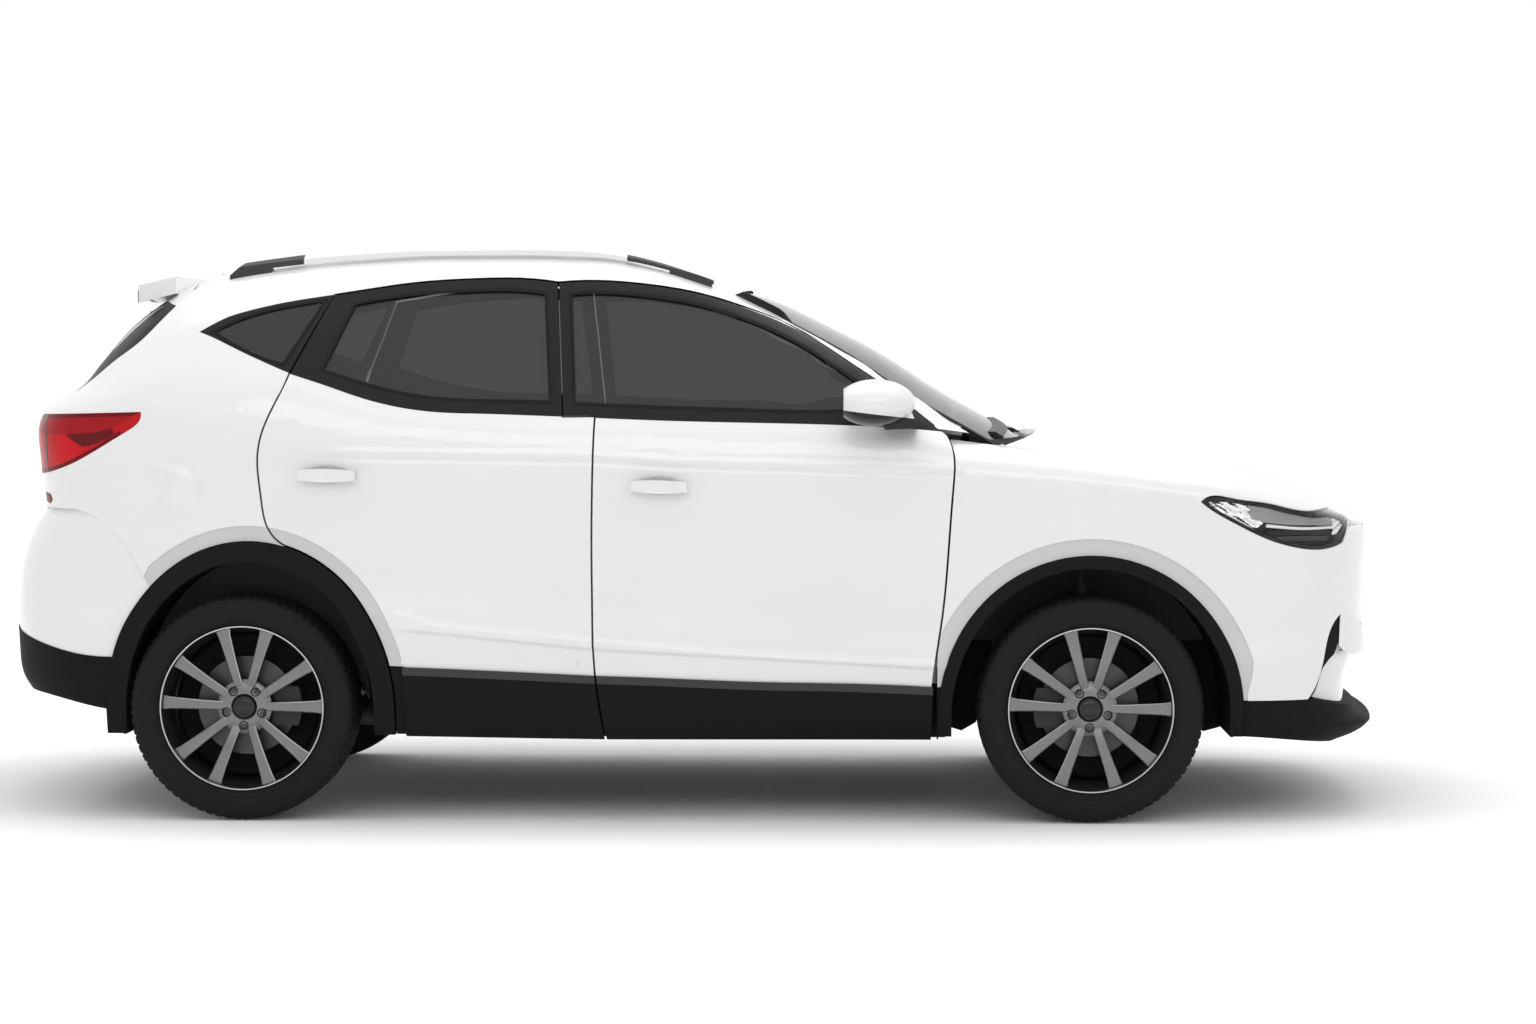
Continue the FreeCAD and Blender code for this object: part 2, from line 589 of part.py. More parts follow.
spoiler_plan = [spoiler_edge, [spoiler_edge[-1], (-1500, 590)], [(-1500, 590), (-1500, -590)], [(-1500, -590), spoiler_edge[0]]]
spoiler = prism(spoiler_side, "side", -590, 590).common(prism(spoiler_plan, "plan", 1500, 1700))
spoiler_room = slab(cabin_depth, up_rays(spread(-1860, -1540, 8), spread(-640, 640, 13), 900), -2, -400)
hinge_x, hinge_z = tailgate_hinge
tailgate_barrels = []
roof_barrels = []
for side in (-1, 1):
    tailgate_barrels.append(rod((hinge_x, side * 70, hinge_z), (hinge_x, side * 99, hinge_z), hinge_barrel_radius))
    roof_barrels.append(rod((hinge_x, side * 100, hinge_z), (hinge_x, side * 130, hinge_z), hinge_barrel_radius))
    roof_barrels.append(rod((hinge_x, side * 68, hinge_z), (hinge_x, side * 130, hinge_z), hinge_pin_radius))
clear_barrels = [rod((hinge_x, side * 98.7, hinge_z), (hinge_x, side * 131, hinge_z), hinge_barrel_radius + 1) for side in (-1, 1)]
pin_bores = [rod((hinge_x, side * 60, hinge_z), (hinge_x, side * 110, hinge_z), hinge_pin_radius + running_gap) for side in (-1, 1)]
tailgate = largest(tailgate.fuse([spoiler] + tailgate_barrels).cut(clear_barrels + pin_bores))
roof_clear = [rod((hinge_x, side * 66, hinge_z), (hinge_x, side * 100.3, hinge_z), hinge_barrel_radius + 1) for side in (-1, 1)]
nodes["roof_panel"] = largest(roof.cut(roof_clear).fuse(roof_barrels))
nodes["tailgate"] = tailgate
rear_pane = slab(cabin_depth, tail_rays, 4, 4 + glass_thickness).common(prism(grown(rear_glass_outline, -seat_gap), "front", -2400, -1600))
nodes["tailgate_glass"] = largest(rear_pane)

# Rear bumper, wrapped round both corners, with its dark lower trim
wrap_angles = spread(-112, 112, 33)


def wrap_rays(x, angles, zs, sign):
    """Level rays that fan out from the car's middle line round one end."""
    rows = []
    for angle in angles:
        a = math.radians(angle)
        way = Vector(sign * math.cos(a), math.sin(a), 0)
        rows.append([(Vector(x, 0, z), way) for z in zs])
    return rows


tail_lower = [[(-2400, 565), (-2060, 562), (-2000, 545), (-1764, 498)], [(-1764, 498), (-1700, 496)], [(-1700, 496), (-1300, 496)], [(-1300, 496), (-1300, 100)], [(-1300, 100), (-2400, 100)]]
rear_wrap = wrap_rays(-1500, wrap_angles, spread(300, 990, 17), -1)
bumper = slab(tail_depth, rear_wrap, 0, 24)
bumper_half = prism(grown(bumper_seam, -seat_gap), "side", -1200, 1200)
bumper = bumper.common(bumper_half).cut(prism(tail_lower, "side", -1200, 1200))
bumper = bumper.cut(prism(grown(tailgate_outline, panel_gap + 1), "front", -2400, -1600))
bumper = bumper.cut(rear_arch(seat_gap)).cut(mirrored(rear_arch(seat_gap)))
nodes["rear_bumper"] = largest(bumper)
lower = slab(tail_depth, wrap_rays(-1500, wrap_angles, spread(300, 600, 9), -1), -4, 20)
under_line = [[(-2400, 376), (-2100, 376)], [(-2100, 376), (-1933, 371), (-1771, 340), (-1600, 330)], [(-1600, 330), (-1300, 330)], [(-1300, 330), (-1300, 700)], [(-1300, 700), (-2400, 700)]]
lower = lower.common(prism(grown(tail_lower, -seat_gap), "side", -1200, 1200)).common(prism(under_line, "side", -1200, 1200))
lower = lower.cut(rear_arch(seat_gap)).cut(mirrored(rear_arch(seat_gap)))
nodes["rear_lower_trim"] = largest(lower)

# Bonnet, fenders and nose
bonnet_half = 760.0
bonnet_outline = [
    [(965, -728), (1060, -380), (1092, 0), (1060, 380), (965, 728)], [(965, 728), (985, bonnet_half)], [(985, bonnet_half), (1200, bonnet_half), (1450, 750), (1700, 725), (1900, 690), (2030, 640)],
    [(2030, 640), (2085, 480), (2112, 240), (2121, 0), (2112, -240), (2085, -480), (2030, -640)],
    [(2030, -640), (1900, -690), (1700, -725), (1450, -750), (1200, -bonnet_half), (985, -bonnet_half)], [(985, -bonnet_half), (965, -728)],
]
bonnet_rays = []
for y in spread(-778, 778, 17):
    reach = crossing(front_depth, Vector(1200, y, 856), Vector(1, 0, 0), 14).x
    bonnet_rays.append([(Vector(x, y, 840), Vector(0, 0, 1)) for x in spread(880, reach, 18)])
bonnet = slab(front_depth, bonnet_rays, 0, 26).common(prism(grown(bonnet_outline, -panel_gap / 2 - 0.5), "plan", 400, 1400))
hinge_x, hinge_z = bonnet_hinge
bonnet_leaves = []
fender_leaves = []
for side in (-1, 1):
    bonnet_leaves.append(rod((hinge_x, side * 730, hinge_z), (hinge_x, side * 747, hinge_z), hinge_barrel_radius))
    bonnet_leaves.append(box(hinge_x, hinge_x + 45, *sorted((side * 730, side * 747)), hinge_z - 14, hinge_z - 3))
fender_leaves = [rod((hinge_x, -724, hinge_z), (hinge_x, -760, hinge_z), hinge_pin_radius), box(hinge_x - 12, hinge_x + 12, -775, -749, hinge_z - 12, hinge_z + hinge_pin_radius)]
pin_bores = [rod((hinge_x, side * 720, hinge_z), (hinge_x, side * 752, hinge_z), hinge_pin_radius + running_gap) for side in (-1, 1)]
nodes["bonnet"] = largest(bonnet.fuse(bonnet_leaves).cut(pin_bores))
fender_stations = [(x, 0) for x in spread(700, 1500, 10)] + [(1500, a) for a in (8, 16, 24, 32, 40, 48, 56)]
fender_heights = [(z, 0) for z in spread(200, 850, 14)] + [(850, b) for b in (4, 8, 12, 16, 20, 24, 28)]
fender_grid = side_rays(fender_stations, fender_heights)
head_lamp = [
    [(1545, 971), (1560, 983), (1650, 979), (1740, 967), (1874, 941), (1956, 943), (2012, 921)], [(2012, 921), (1999, 880), (1983, 843)],
    [(1983, 843), (1920, 826), (1829, 834), (1738, 862), (1647, 907), (1575, 948), (1545, 971)],
]
nose_seam = [[(2009, 900), (1996, 838), (2003, 760), (1990, 630)], [(1990, 630), (1960, 600), (1925, 500), (1876, 372)], [(1876, 372), (1650, 372)], [(1650, 372), (1650, 100)], [(1650, 100), (2600, 100)], [(2600, 100), (2600, 900)], [(2600, 900), (2009, 900)]]
fender = slab(front_depth, fender_grid, 0, skin_thickness)
fender = fender.cut([
    prism(grown(front_door, panel_gap / 2 + 0.5), "side", -1200, -300),
    front_arch(seat_gap),
    prism(grown(bonnet_outline, panel_gap / 2 + 0.5), "plan", 400, 1400),
    prism(grown(head_lamp, seat_gap), "side", -1200, -300),
    prism(grown(nose_seam, seam_gap / 2), "side", -1200, 0),
    box(600, 800, -1200, 0, 1150, 1500),
    box(2009, 2600, -1200, 0, 0, 1500),
    box(600, 760, -1200, 0, 0, 1500),
    box(600, 990, -752, 0, 0, 1500),
])
nodes["fenders"] = both_sides(largest(fender.fuse(fender_leaves)))
lamp = slab(front_depth, fender_grid, 1, 70).common(prism(head_lamp, "side", -1200, -300))
lamp = lamp.cut(prism(grown(bonnet_outline, panel_gap / 2 + 1), "plan", 400, 1400))
nodes["headlamps"] = both_sides(largest(lamp))
nose_angles = spread(-75, 75, 27)
nose_rays = wrap_rays(1400, nose_angles, spread(210, 890, 18), 1)
wing_edge = 505.0
wing_cut = [[(1986, 632), (1978, 532)], [(1978, 532), (2010, wing_edge), (2060, wing_edge)], [(2060, wing_edge), (2600, wing_edge)], [(2600, wing_edge), (2600, 100)], [(2600, 100), (1600, 100)], [(1600, 100), (1600, 632)], [(1600, 632), (1986, 632)]]
nose = slab(front_depth, nose_rays, 0, 22)
nose = nose.common(prism(grown(nose_seam, -seam_gap / 2), "side", -1200, 1200))
nose = nose.cut(prism(grown(bonnet_outline, panel_gap), "plan", 840, 1400))
nose = nose.cut(prism(wing_cut, "side", -1200, 1200))
ledge_rays = wrap_rays(1400, nose_angles, spread(wing_edge - 20, wing_edge + 40, 4), 1)
ledge_zone = [[(1990, 632), (1982, 532)], [(1982, 532), (2012, wing_edge - 1), (2060, wing_edge - 1)], [(2060, wing_edge - 1), (2600, wing_edge - 1)], [(2600, wing_edge - 1), (2600, wing_edge + 12)], [(2600, wing_edge + 12), (2062, wing_edge + 12)], [(2062, wing_edge + 12), (1995, 545)], [(1995, 545), (1996, 632)]]
ledge = slab(front_depth, wrap_rays(1400, nose_angles, spread(wing_edge - 30, 650, 8), 1), 3, block_setback + 20)
ledge = ledge.common(prism(ledge_zone, "side", -1200, 1200))
block_zone = [[(1986, 560), (1962, 505)], [(1962, 505), (1930, 472), (1912, 420), (1898, 374)], [(1898, 374), (2010, 346), (2600, 336)], [(2600, 336), (2600, wing_edge + 6)], [(2600, wing_edge + 6), (1986, wing_edge + 6)], [(1986, wing_edge + 6), (1986, 560)]]
block = slab(front_depth, wrap_rays(1400, nose_angles, spread(310, 600, 9), 1), block_setback, block_setback + 20)
block = block.common(prism(block_zone, "side", -1200, 1200))
nose = nose.fuse([ledge, block])
bezel_zone = [[(1990, 630), (1960, 600), (1925, 500), (1882, 386)], [(1882, 386), (1897, 386)], [(1897, 386), (1911, 420), (1929, 473), (1961, 506), (1975, 540), (1984, 620)], [(1984, 620), (1990, 630)]]
bezel = slab(front_depth, nose_rays, 3, block_setback + 15).common(prism(grown(bezel_zone, -0.4), "side", -1200, -300))
bezel = bezel.cut([prism(grown(block_zone, seat_gap), "side", -1200, 0), prism(grown(ledge_zone, seat_gap), "side", -1200, 0)])
bezel = bezel.common(prism(grown(nose_seam, -2 * seat_gap), "side", -1200, 0)).common(prism(grown(wing_cut, -seat_gap), "side", -1200, 0))
lower_line = [[(1600, 372), (1898, 372)], [(1898, 372), (2010, 344), (2600, 334)], [(2600, 334), (2600, 100)], [(2600, 100), (1600, 100)], [(1600, 100), (1600, 372)]]
trim_zone = prism(grown(lower_line, -seat_gap / 2), "side", -1200, 1200)
trim_zone = trim_zone.common(prism([[(1650, 262), (1760, 256), (2020, 214)], [(2020, 214), (2600, 214)], [(2600, 214), (2600, 700)], [(2600, 700), (1650, 700)], [(1650, 700), (1650, 262)]], "side", -1200, 1200))
nose_trim = slab(lip_depth, wrap_rays(1400, nose_angles, spread(205, 395, 20), 1), 0, 36).common(trim_zone)
nose = nose.cut(prism(grown(lower_line, seat_gap / 2), "side", -1200, 1200))
grille_outline = [[(-560, 800), (560, 800)], [(560, 800), (470, 640)], [(470, 640), (-470, 640)], [(-470, 640), (-560, 800)]]
intake_outline = [[(-600, 590), (600, 590)], [(600, 590), (560, 400)], [(560, 400), (-560, 400)], [(-560, 400), (-600, 590)]]
nose = nose.cut(prism(grille_outline, "front", 1800, 2600)).cut(prism(intake_outline, "front", 1800, 2600))
nodes["front_bumper"] = largest(nose)
nose_trim = largest(nose_trim.cut(front_arch(seat_gap)).cut(mirrored(front_arch(seat_gap))))
bezels = [largest(bezel), mirrored(largest(bezel))]
nodes["front_lower_trim"] = Part.makeCompound([nose_trim] + bezels)
grille = slab(front_depth, nose_rays, 6, 26)
bars = []
for z in (420, 455, 490, 525, 560, 660, 700, 740, 780):
    bars.append(box(1800, 2300, -560, 560, z - 7, z + 7))
for y in spread(-440, 440, 5):
    bars.append(box(1800, 2300, y - 6, y + 6, 402, 800))
bars.append(box(1800, 2300, -460, 460, 575, 655))
grille = grille.common(bars[0].fuse(bars[1:]))
grille_room = prism(grown(grille_outline, -seat_gap), "front", 1800, 2600).fuse(prism(grown(intake_outline, -seat_gap), "front", 1800, 2600))
nodes["grille"] = grille.common(grille_room)


# Wheel-arch trims: a dark band round each opening, with the liner behind it
arch_skin_rear = slab(cabin_depth, side_rays([(x, 0) for x in spread(-1790, -840, 14)], [(z, 0) for z in spread(225, 900, 14)]), -trim_proud, 30)
arch_skin_front = slab(front_depth, side_rays([(x, 0) for x in spread(740, 1700, 14)], [(z, 0) for z in spread(225, 870, 14)]), -trim_proud, 30)
liner_outer = ellipse_arch(front_axle_x, arch_half_length_front - arch_trim_front + 8, arch_height_front - arch_trim_front + 8, -860, -480)
liner_inner = ellipse_arch(front_axle_x, arch_half_length_front - arch_trim_front, arch_height_front - arch_trim_front, -1200, -300)
front_arch_trim = arch_skin_front.common(front_arch(-seat_gap)).fuse(liner_outer).cut(liner_inner)
strut_room = rod(kingpin_foot, kingpin_head, strut_top_radius + 12)
front_arch_trim = front_arch_trim.cut([box(600, 1900, -1200, 0, 0, 262), strut_room])
rear_liner_outer = ellipse_arch(rear_arch_x, arch_half_length_rear - arch_trim_rear + 8, arch_height_rear - arch_trim_rear + 8, -860, -602.3)
rear_liner_inner = rear_arch(-arch_trim_rear)
rear_arch_trim = arch_skin_rear.common(rear_arch(-seat_gap)).fuse(rear_liner_outer).cut(rear_liner_inner)
rear_arch_trim = rear_arch_trim.cut(box(-1900, -700, -1200, 0, 0, 262))
nodes["front_arch_trims"] = both_sides(largest(front_arch_trim))
nodes["rear_arch_trims"] = both_sides(largest(rear_arch_trim))


# Wheels: tyre, rim with ten spokes, and brake disc with its hub
def tyre(x, y):
    w = tyre_width / 2
    profile = [
        (rim_radius - 6, -w + 16), (rim_radius + 14, -w + 2), (300, -w), (328, -w + 8), (340, -w + 22), (tyre_radius, -w + 44),
        (tyre_radius, w - 44), (340, w - 22), (328, w - 8), (300, w), (rim_radius + 14, w - 2), (rim_radius - 6, w - 16),
    ]
    return turned(profile, x, y, tyre_radius)


def rim(x, y, outward):
    """A rim on the hub's centre; outward is -1 on the right side and 1 on the left."""
    half = rim_width / 2
    lip = rim_radius - 6.3
    barrel = turned([
        (lip, -half), (lip, half), (lip - 10, half), (lip - 22, half - 12), (lip - 26, -half + 12), (lip - 10, -half),
    ], x, y, tyre_radius)
    hub = Part.makeCylinder(82, 34, Vector(x, y + outward * 40 - 17, tyre_radius), Vector(0, 1, 0))
    parts = [hub]
    for i in range(spoke_count // 2):
        for turn in (-16, 16):
            angle = math.radians(spoke_start + 72 * i + turn)
            reach = Vector(math.cos(angle), 0, math.sin(angle))
            across = Vector(-math.sin(angle), 0, math.cos(angle))
            base = Vector(x, y, tyre_radius)
            near, far = 60, lip - 14
            low, high = outward * 30, outward * 72
            points = []
            for r, width in ((near, 15), (far, 20)):
                for side in (-1, 1):
                    points.append(base + reach * r + across * (side * width))
            order = [points[0], points[1], points[3], points[2]]
            face = Part.Face(Part.makePolygon(order + [order[0]]))
            face.translate(Vector(0, low, 0))
            parts.append(face.extrude(Vector(0, high - low, 0)))
    rim_body = barrel.fuse(parts)
    cutters = [Part.makeCylinder(34, 60, Vector(x, y + outward * 40 - 30, tyre_radius), Vector(0, 1, 0))]
    for i in range(lug_count):
        angle = 2 * math.pi * i / lug_count + math.radians(spoke_start)
        spot = Vector(x + lug_circle_radius * math.cos(angle), y - 60, tyre_radius + lug_circle_radius * math.sin(angle))
        cutters.append(Part.makeCylinder(8, 220, spot, Vector(0, 1, 0)))
    rim_body = rim_body.cut(cutters)
    cap = Part.makeCylinder(33.7, 20, Vector(x, y + outward * 44 - 10, tyre_radius), Vector(0, 1, 0))
    return largest(rim_body), cap


def brake_disc(x, y, outward):
    """The disc, its raised centre and the stub shaft that turns in the hub carrier."""
    disc = Part.makeCylinder(disc_radius, 24, Vector(x, y - outward * 10 - 12, tyre_radius), Vector(0, 1, 0))
    hat = Part.makeCylinder(78, 30, Vector(x, y + outward * 8 - 15, tyre_radius), Vector(0, 1, 0))
    stub = rod((x, y + outward * 20, tyre_radius), (x, y - outward * 110, tyre_radius), stub_radius)
    return disc.fuse([hat, stub]).removeSplitter()


def caliper(x, y, outward, angle):
    """A brake caliper that straddles the disc at an angle round it."""
    ring = Part.makeCylinder(disc_radius + 20, 62, Vector(x, y - outward * 10 - 31, tyre_radius), Vector(0, 1, 0))
    ring = ring.cut(Part.makeCylinder(92, 62, Vector(x, y - outward * 10 - 31, tyre_radius), Vector(0, 1, 0)))
    ring = ring.cut(Part.makeCylinder(disc_radius + 6, 36, Vector(x, y - outward * 10 - 18, tyre_radius), Vector(0, 1, 0)))
    spread_half = 60
    wedge = Part.makeBox(200, 80, 2 * spread_half, Vector(80, -40, -spread_half))
    wedge.rotate(Vector(0, 0, 0), Vector(0, 1, 0), -angle)
    wedge.translate(Vector(x, y - outward * 10, tyre_radius))
    bracket = Part.makeBox(70, 26, 60, Vector(60, -13, -30))
    bracket.rotate(Vector(0, 0, 0), Vector(0, 1, 0), -angle)
    bracket.translate(Vector(x, y - outward * 47, tyre_radius))
    return ring.common(wedge).fuse(bracket)


def carrier(x, y, outward):
    """The hub carrier: a bored boss behind the disc."""
    boss = rod((x, y - outward * 34, tyre_radius), (x, y - outward * 120, tyre_radius), 62)
    return boss.cut(rod((x, y - outward * 30, tyre_radius), (x, y - outward * 115, tyre_radius), stub_radius + running_gap))


wheel_places = {
    "front_right": (front_axle_x, -wheel_y, -1), "front_left": (front_axle_x, wheel_y, 1),
    "rear_right": (rear_axle_x, -wheel_y, -1), "rear_left": (rear_axle_x, wheel_y, 1),
}
for place, (x, y, outward) in wheel_places.items():
    rim_body, cap = rim(x, y, outward)
    nodes["tyre_" + place] = tyre(x, y)
    nodes["rim_" + place] = rim_body.fuse(cap)
    nodes["brake_disc_" + place] = brake_disc(x, y, outward)


# Front knuckles: hub carrier, strut and caliper turn together about the line through ball joint and strut top
def knuckle():
    foot, head = Vector(*kingpin_foot), Vector(*kingpin_head)
    way = (head - foot).normalize()
    parts = [carrier(front_axle_x, -wheel_y, -1), caliper(front_axle_x, -wheel_y, -1, 180)]
    centre = Vector(front_axle_x, -wheel_y + 102, tyre_radius)
    parts.append(Part.makeSphere(ball_radius, foot))
    parts.append(Part.makeSphere(strut_top_radius, head))
    parts.append(rod(foot, foot + way * 170, 12))
    parts.append(rod(foot + way * 30, foot + way * 170, 22))
    parts.append(rod(foot + way * 130, foot + way * 300, 24))
    parts.append(rod(foot + way * 280, foot + way * 520, 27))
    parts.append(rod(foot + way * 500, head, 12))
    parts.append(rod(centre, foot + way * 160, 30))
    parts.append(rod(centre, foot + way * 280, 26))
    bore = rod((front_axle_x, -wheel_y + 20, tyre_radius), (front_axle_x, -wheel_y + 114, tyre_radius), stub_radius + running_gap)
    return largest(parts[0].fuse(parts[1:]).cut(bore))


knuckle_right = knuckle()
nodes["knuckle_right"] = knuckle_right
nodes["knuckle_left"] = mirrored(knuckle_right)

# Rear axle: twist beam, trailing arms, hub carriers and calipers in one
beam = rod((-1170, -640, 300), (-1170, 640, 300), 42)
axle_parts = []
for side in (-1, 1):
    y = side * wheel_y
    axle_parts.append(carrier(rear_axle_x, y, side))
    axle_parts.append(caliper(rear_axle_x, y, side, 0))
    axle_parts.append(rod((rear_axle_x, y - side * 130, tyre_radius), (-1170, side * 620, 300), 34))
    axle_parts.append(rod((-1170, side * 600, 300), (-900, side * 560, 285), 30))
    axle_parts.append(rod((-900, side * 600, 285), (-900, side * 520, 285), 36))
    axle_parts.append(rod((-1400, side * 560, 330), (-1430, side * 545, 596.7), 26))
    axle_parts.append(rod((-1400, side * 560, 330), (rear_axle_x, y - side * 140, tyre_radius), 24))
bores = [rod((rear_axle_x, s * (wheel_y - 20), tyre_radius), (rear_axle_x, s * (wheel_y - 114), tyre_radius), stub_radius + running_gap) for s in (-1, 1)]
nodes["rear_axle"] = beam.fuse(axle_parts).cut(bores)

# Floor: tunnel, rear seat pan, load floor and wheel housings
floor = box(-560, 786, -689.7, 689.7, 240, 258).cut(box(-560, 900, -110, 110, 200, 258))
floor_parts = [
    box(-560, 786, -122, -104, 240, 380), box(-560, 786, 104, 122, 240, 380), box(-560, 786, -122, 122, 368, 382),
    box(-578, -560, -689.7, 689.7, 240, 418), box(-1000, -560, -590, 590, 400, 418), box(-1018, -1000, -590, 590, 400, 618),
    box(-860, -560, -689.7, 689.7, 400, 418), box(-1975, -1000, -590, 590, 600, 618),
    box(-1990, -1965, -600, 600, 420, 690),
]
for side in (-1, 1):
    low, high = sorted((side * 590, side * 602))
    floor_parts.append(box(-1760, -930, low, high, 400, 800))
for side in (-1, 1):
    bracket = box(-935, -865, *sorted((side * 535, side * 590)), 300, 401)
    bracket = bracket.cut([rod((-900, side * 500, 285), (-900, side * 640, 285), 36 + seat_gap), rod((-1170, side * 600, 300), (-890, side * 558, 284), 33)])
    floor_parts.append(largest(bracket))
nodes["floor_pan"] = floor.fuse(floor_parts).cut(box(-600, -540, -104, 104, 200, 367))

# Front structure: bulkhead, rails, inner wings, strut tops, upper rails and the crossmember that carries the radiator
bulkhead_front = bulkhead_x + bulkhead_thickness
front_parts = [box(1948, 1990, -575, 575, 300, 800)]
shelf = box(bulkhead_front, 1500, -890, -690, 895, 907)
shelf_room = slab(front_depth, side_rays([(x, 0) for x in spread(780, 1520, 10)], [(z, 0) for z in spread(880, 925, 4)]), -60, skin_thickness + seat_gap)
shelf = largest(shelf.cut(shelf_room))
beam = slab(front_depth, nose_rays, 26 + seat_gap, 70).common(box(1900, 2200, -470, 470, 580, 650))
for side in (-1, 1):
    front_parts.append(box(bulkhead_front - 1, 1948, *sorted((side * 390, side * 452)), 400, 500))
    front_parts.append(box(bulkhead_front - 1, 1948, *sorted((side * 452, side * 462)), 400, 905))
    front_parts.append(box(1110, 1310, *sorted((side * 452, side * 660)), 790, 815))
    front_parts.append(box(bulkhead_front - 1, 1500, *sorted((side * 452, side * 720)), 895, 907))
    front_parts.append(box(1500, 1948, *sorted((side * 452, side * 600)), 788, 800))
    front_parts.append(box(1985, 2045, *sorted((side * 360, side * 430)), 590, 640))
bulkhead = prism([[(-470, 258.3), (470, 258.3)], [(470, 258.3), (470, 790)], [(470, 790), (685, 790)], [(685, 790), (685, 1090)], [(685, 1090), (-685, 1090)], [(-685, 1090), (-685, 790)], [(-685, 790), (-470, 790)], [(-470, 790), (-470, 258.3)]], "front", bulkhead_x, bulkhead_front)
front_structure = bulkhead.fuse(front_parts + [beam, shelf, mirrored(shelf)]).cut(box(780, 830, -123, 123, 200, 383))
sockets = []
for side in (-1, 1):
    sockets.append(Part.makeSphere(strut_top_radius + seat_gap, Vector(kingpin_head[0], -side * kingpin_head[1], kingpin_head[2])))
nodes["front_structure"] = largest(front_structure.cut(sockets).removeSplitter())
cowl = slab(front_depth, [[(Vector(x, y, 840), Vector(0, 0, 1)) for x in spread(800, 1200, 7)] for y in spread(-740, 740, 9)], 39, 51)
cowl = cowl.common(prism([[(870, -712), (870, 712)], [(870, 712), (985, 712), (1070, 380), (1150, 0), (1070, -380), (985, -712)], [(985, -712), (870, -712)]], "plan", 900, 1400))
nodes["cowl"] = largest(cowl)
nodes["radiator"] = box(1905, 1947.7, -385, 385, 320, 780)
nodes["engine_block"] = box(1040, 1640, -350, 340, 320, 840).fuse([box(1240, 1340, -389.7, 389.7, 420, 480)])
sub = box(1090, 1330, -390, 390, 200, 262).fuse([box(1110, 1170, -452, -390, 230, 399.7), box(1110, 1170, 390, 452, 230, 399.7)])
arm = prism([[(1080, -380), (1340, -380)], [(1340, -380), (1250, -715)], [(1250, -715), (1200, -715)], [(1200, -715), (1080, -380)]], "plan", 158, 190)
sub = sub.fuse([arm, mirrored(arm), box(1100, 1320, -400, -340, 170, 210), box(1100, 1320, 340, 400, 170, 210)])
joints = [Part.makeSphere(ball_radius + seat_gap, Vector(kingpin_foot[0], side * kingpin_foot[1], kingpin_foot[2])) for side in (-1, 1)]
stud_room = [rod((kingpin_foot[0], side * kingpin_foot[1], kingpin_foot[2]), (kingpin_foot[0] - 3, side * (kingpin_foot[1] + 18), kingpin_foot[2] + 90), 18) for side in (-1, 1)]
nodes["front_subframe"] = largest(sub.cut(joints + stud_room).removeSplitter())
exhaust = rod((1039.7, 0, 330), (1000, 0, 330), 28).fuse([
    rod((1010, 0, 330), (820, 0, 300), 28),
    rod((830, 0, 300), (-600, 0, 300), 28), rod((-580, 0, 300), (-760, 0, 215), 28), rod((-740, 0, 215), (-1010, 0, 215), 28),
    rod((-1000, 0, 215), (-1120, 0, 385), 28), rod((-1110, 0, 385), (-1560, 0, 420), 28),
    rod((-1640, -260, 430), (-1640, 260, 430), 95), rod((-1550, 0, 420), (-1640, 0, 430), 28),
])
nodes["exhaust"] = exhaust
nodes["fuel_tank"] = box(-990, -590, -520, 520, 262, 399.7).cut(box(-1100, -500, -60, 60, 200, 345))

# Roof rails on the roof's edges
rail_y = (-598, -568)
rail_grid = up_rays(spread(-1430, 80, 14), spread(rail_y[0], rail_y[1], 4), 900)
rail = slab(cabin_depth, rail_grid, -34, -16)
feet = slab(cabin_depth, rail_grid, -30, -rail_seat)
rail = rail.fuse([feet.common(box(-1420, -1290, -700, -500, 1400, 2000)), feet.common(box(-60, 70, -700, -500, 1400, 2000))])
rail = rail.common(prism([[(-1425, 1500), (-1425, 1650)], [(-1425, 1650), (-1340, 1725)], [(-1340, 1725), (-1250, 1900)], [(-1250, 1900), (-100, 1900)], [(-100, 1900), (0, 1735)], [(0, 1735), (75, 1640)], [(75, 1640), (75, 1500)]], "side", -1200, 0))
rail = largest(rail.cut([body_side, roof]))
rail.translate(Vector(0, 0, seat_gap))
nodes["roof_rails"] = both_sides(rail)

# Door mirrors: a domed shell on a foot
dome = Part.makeSphere(1.0)
stretch = FreeCAD.Matrix()
stretch.scale(118, 100, 70)
dome = dome.transformGeometry(stretch)
dome.translate(Vector(572, -985, 1268))
dome = dome.cut(box(300, 478, -1200, -700, 1100, 1500))
foot = prism([[(600, 1188), (700, 1192)], [(700, 1192), (680, 1240)], [(680, 1240), (590, 1240)], [(590, 1240), (600, 1188)]], "side", -990, -862)
mirror = dome.fuse(foot).cut(door_skin)
mirror = largest(mirror.cut(slab(cabin_depth, door_grid, -seat_gap, 200)))
nodes["mirror_right"] = mirror
nodes["mirror_left"] = mirrored(mirror)

# Wipers at rest along the foot of the windscreen
wiper_skin = slab(cabin_depth, screen_rays, -10, 2 - seat_gap)
wiper_a = prism([[(-560, 1160), (-60, 1196)], [(-60, 1196), (-60, 1210)], [(-60, 1210), (-560, 1174)], [(-560, 1174), (-560, 1160)]], "front", 0, 1300)
wiper_b = prism([[(20, 1160), (620, 1170)], [(620, 1170), (620, 1184)], [(620, 1184), (20, 1174)], [(20, 1174), (20, 1160)]], "front", 0, 1300)
nodes["wipers"] = Part.makeCompound([largest(wiper_skin.common(wiper_a)), largest(wiper_skin.common(wiper_b))])

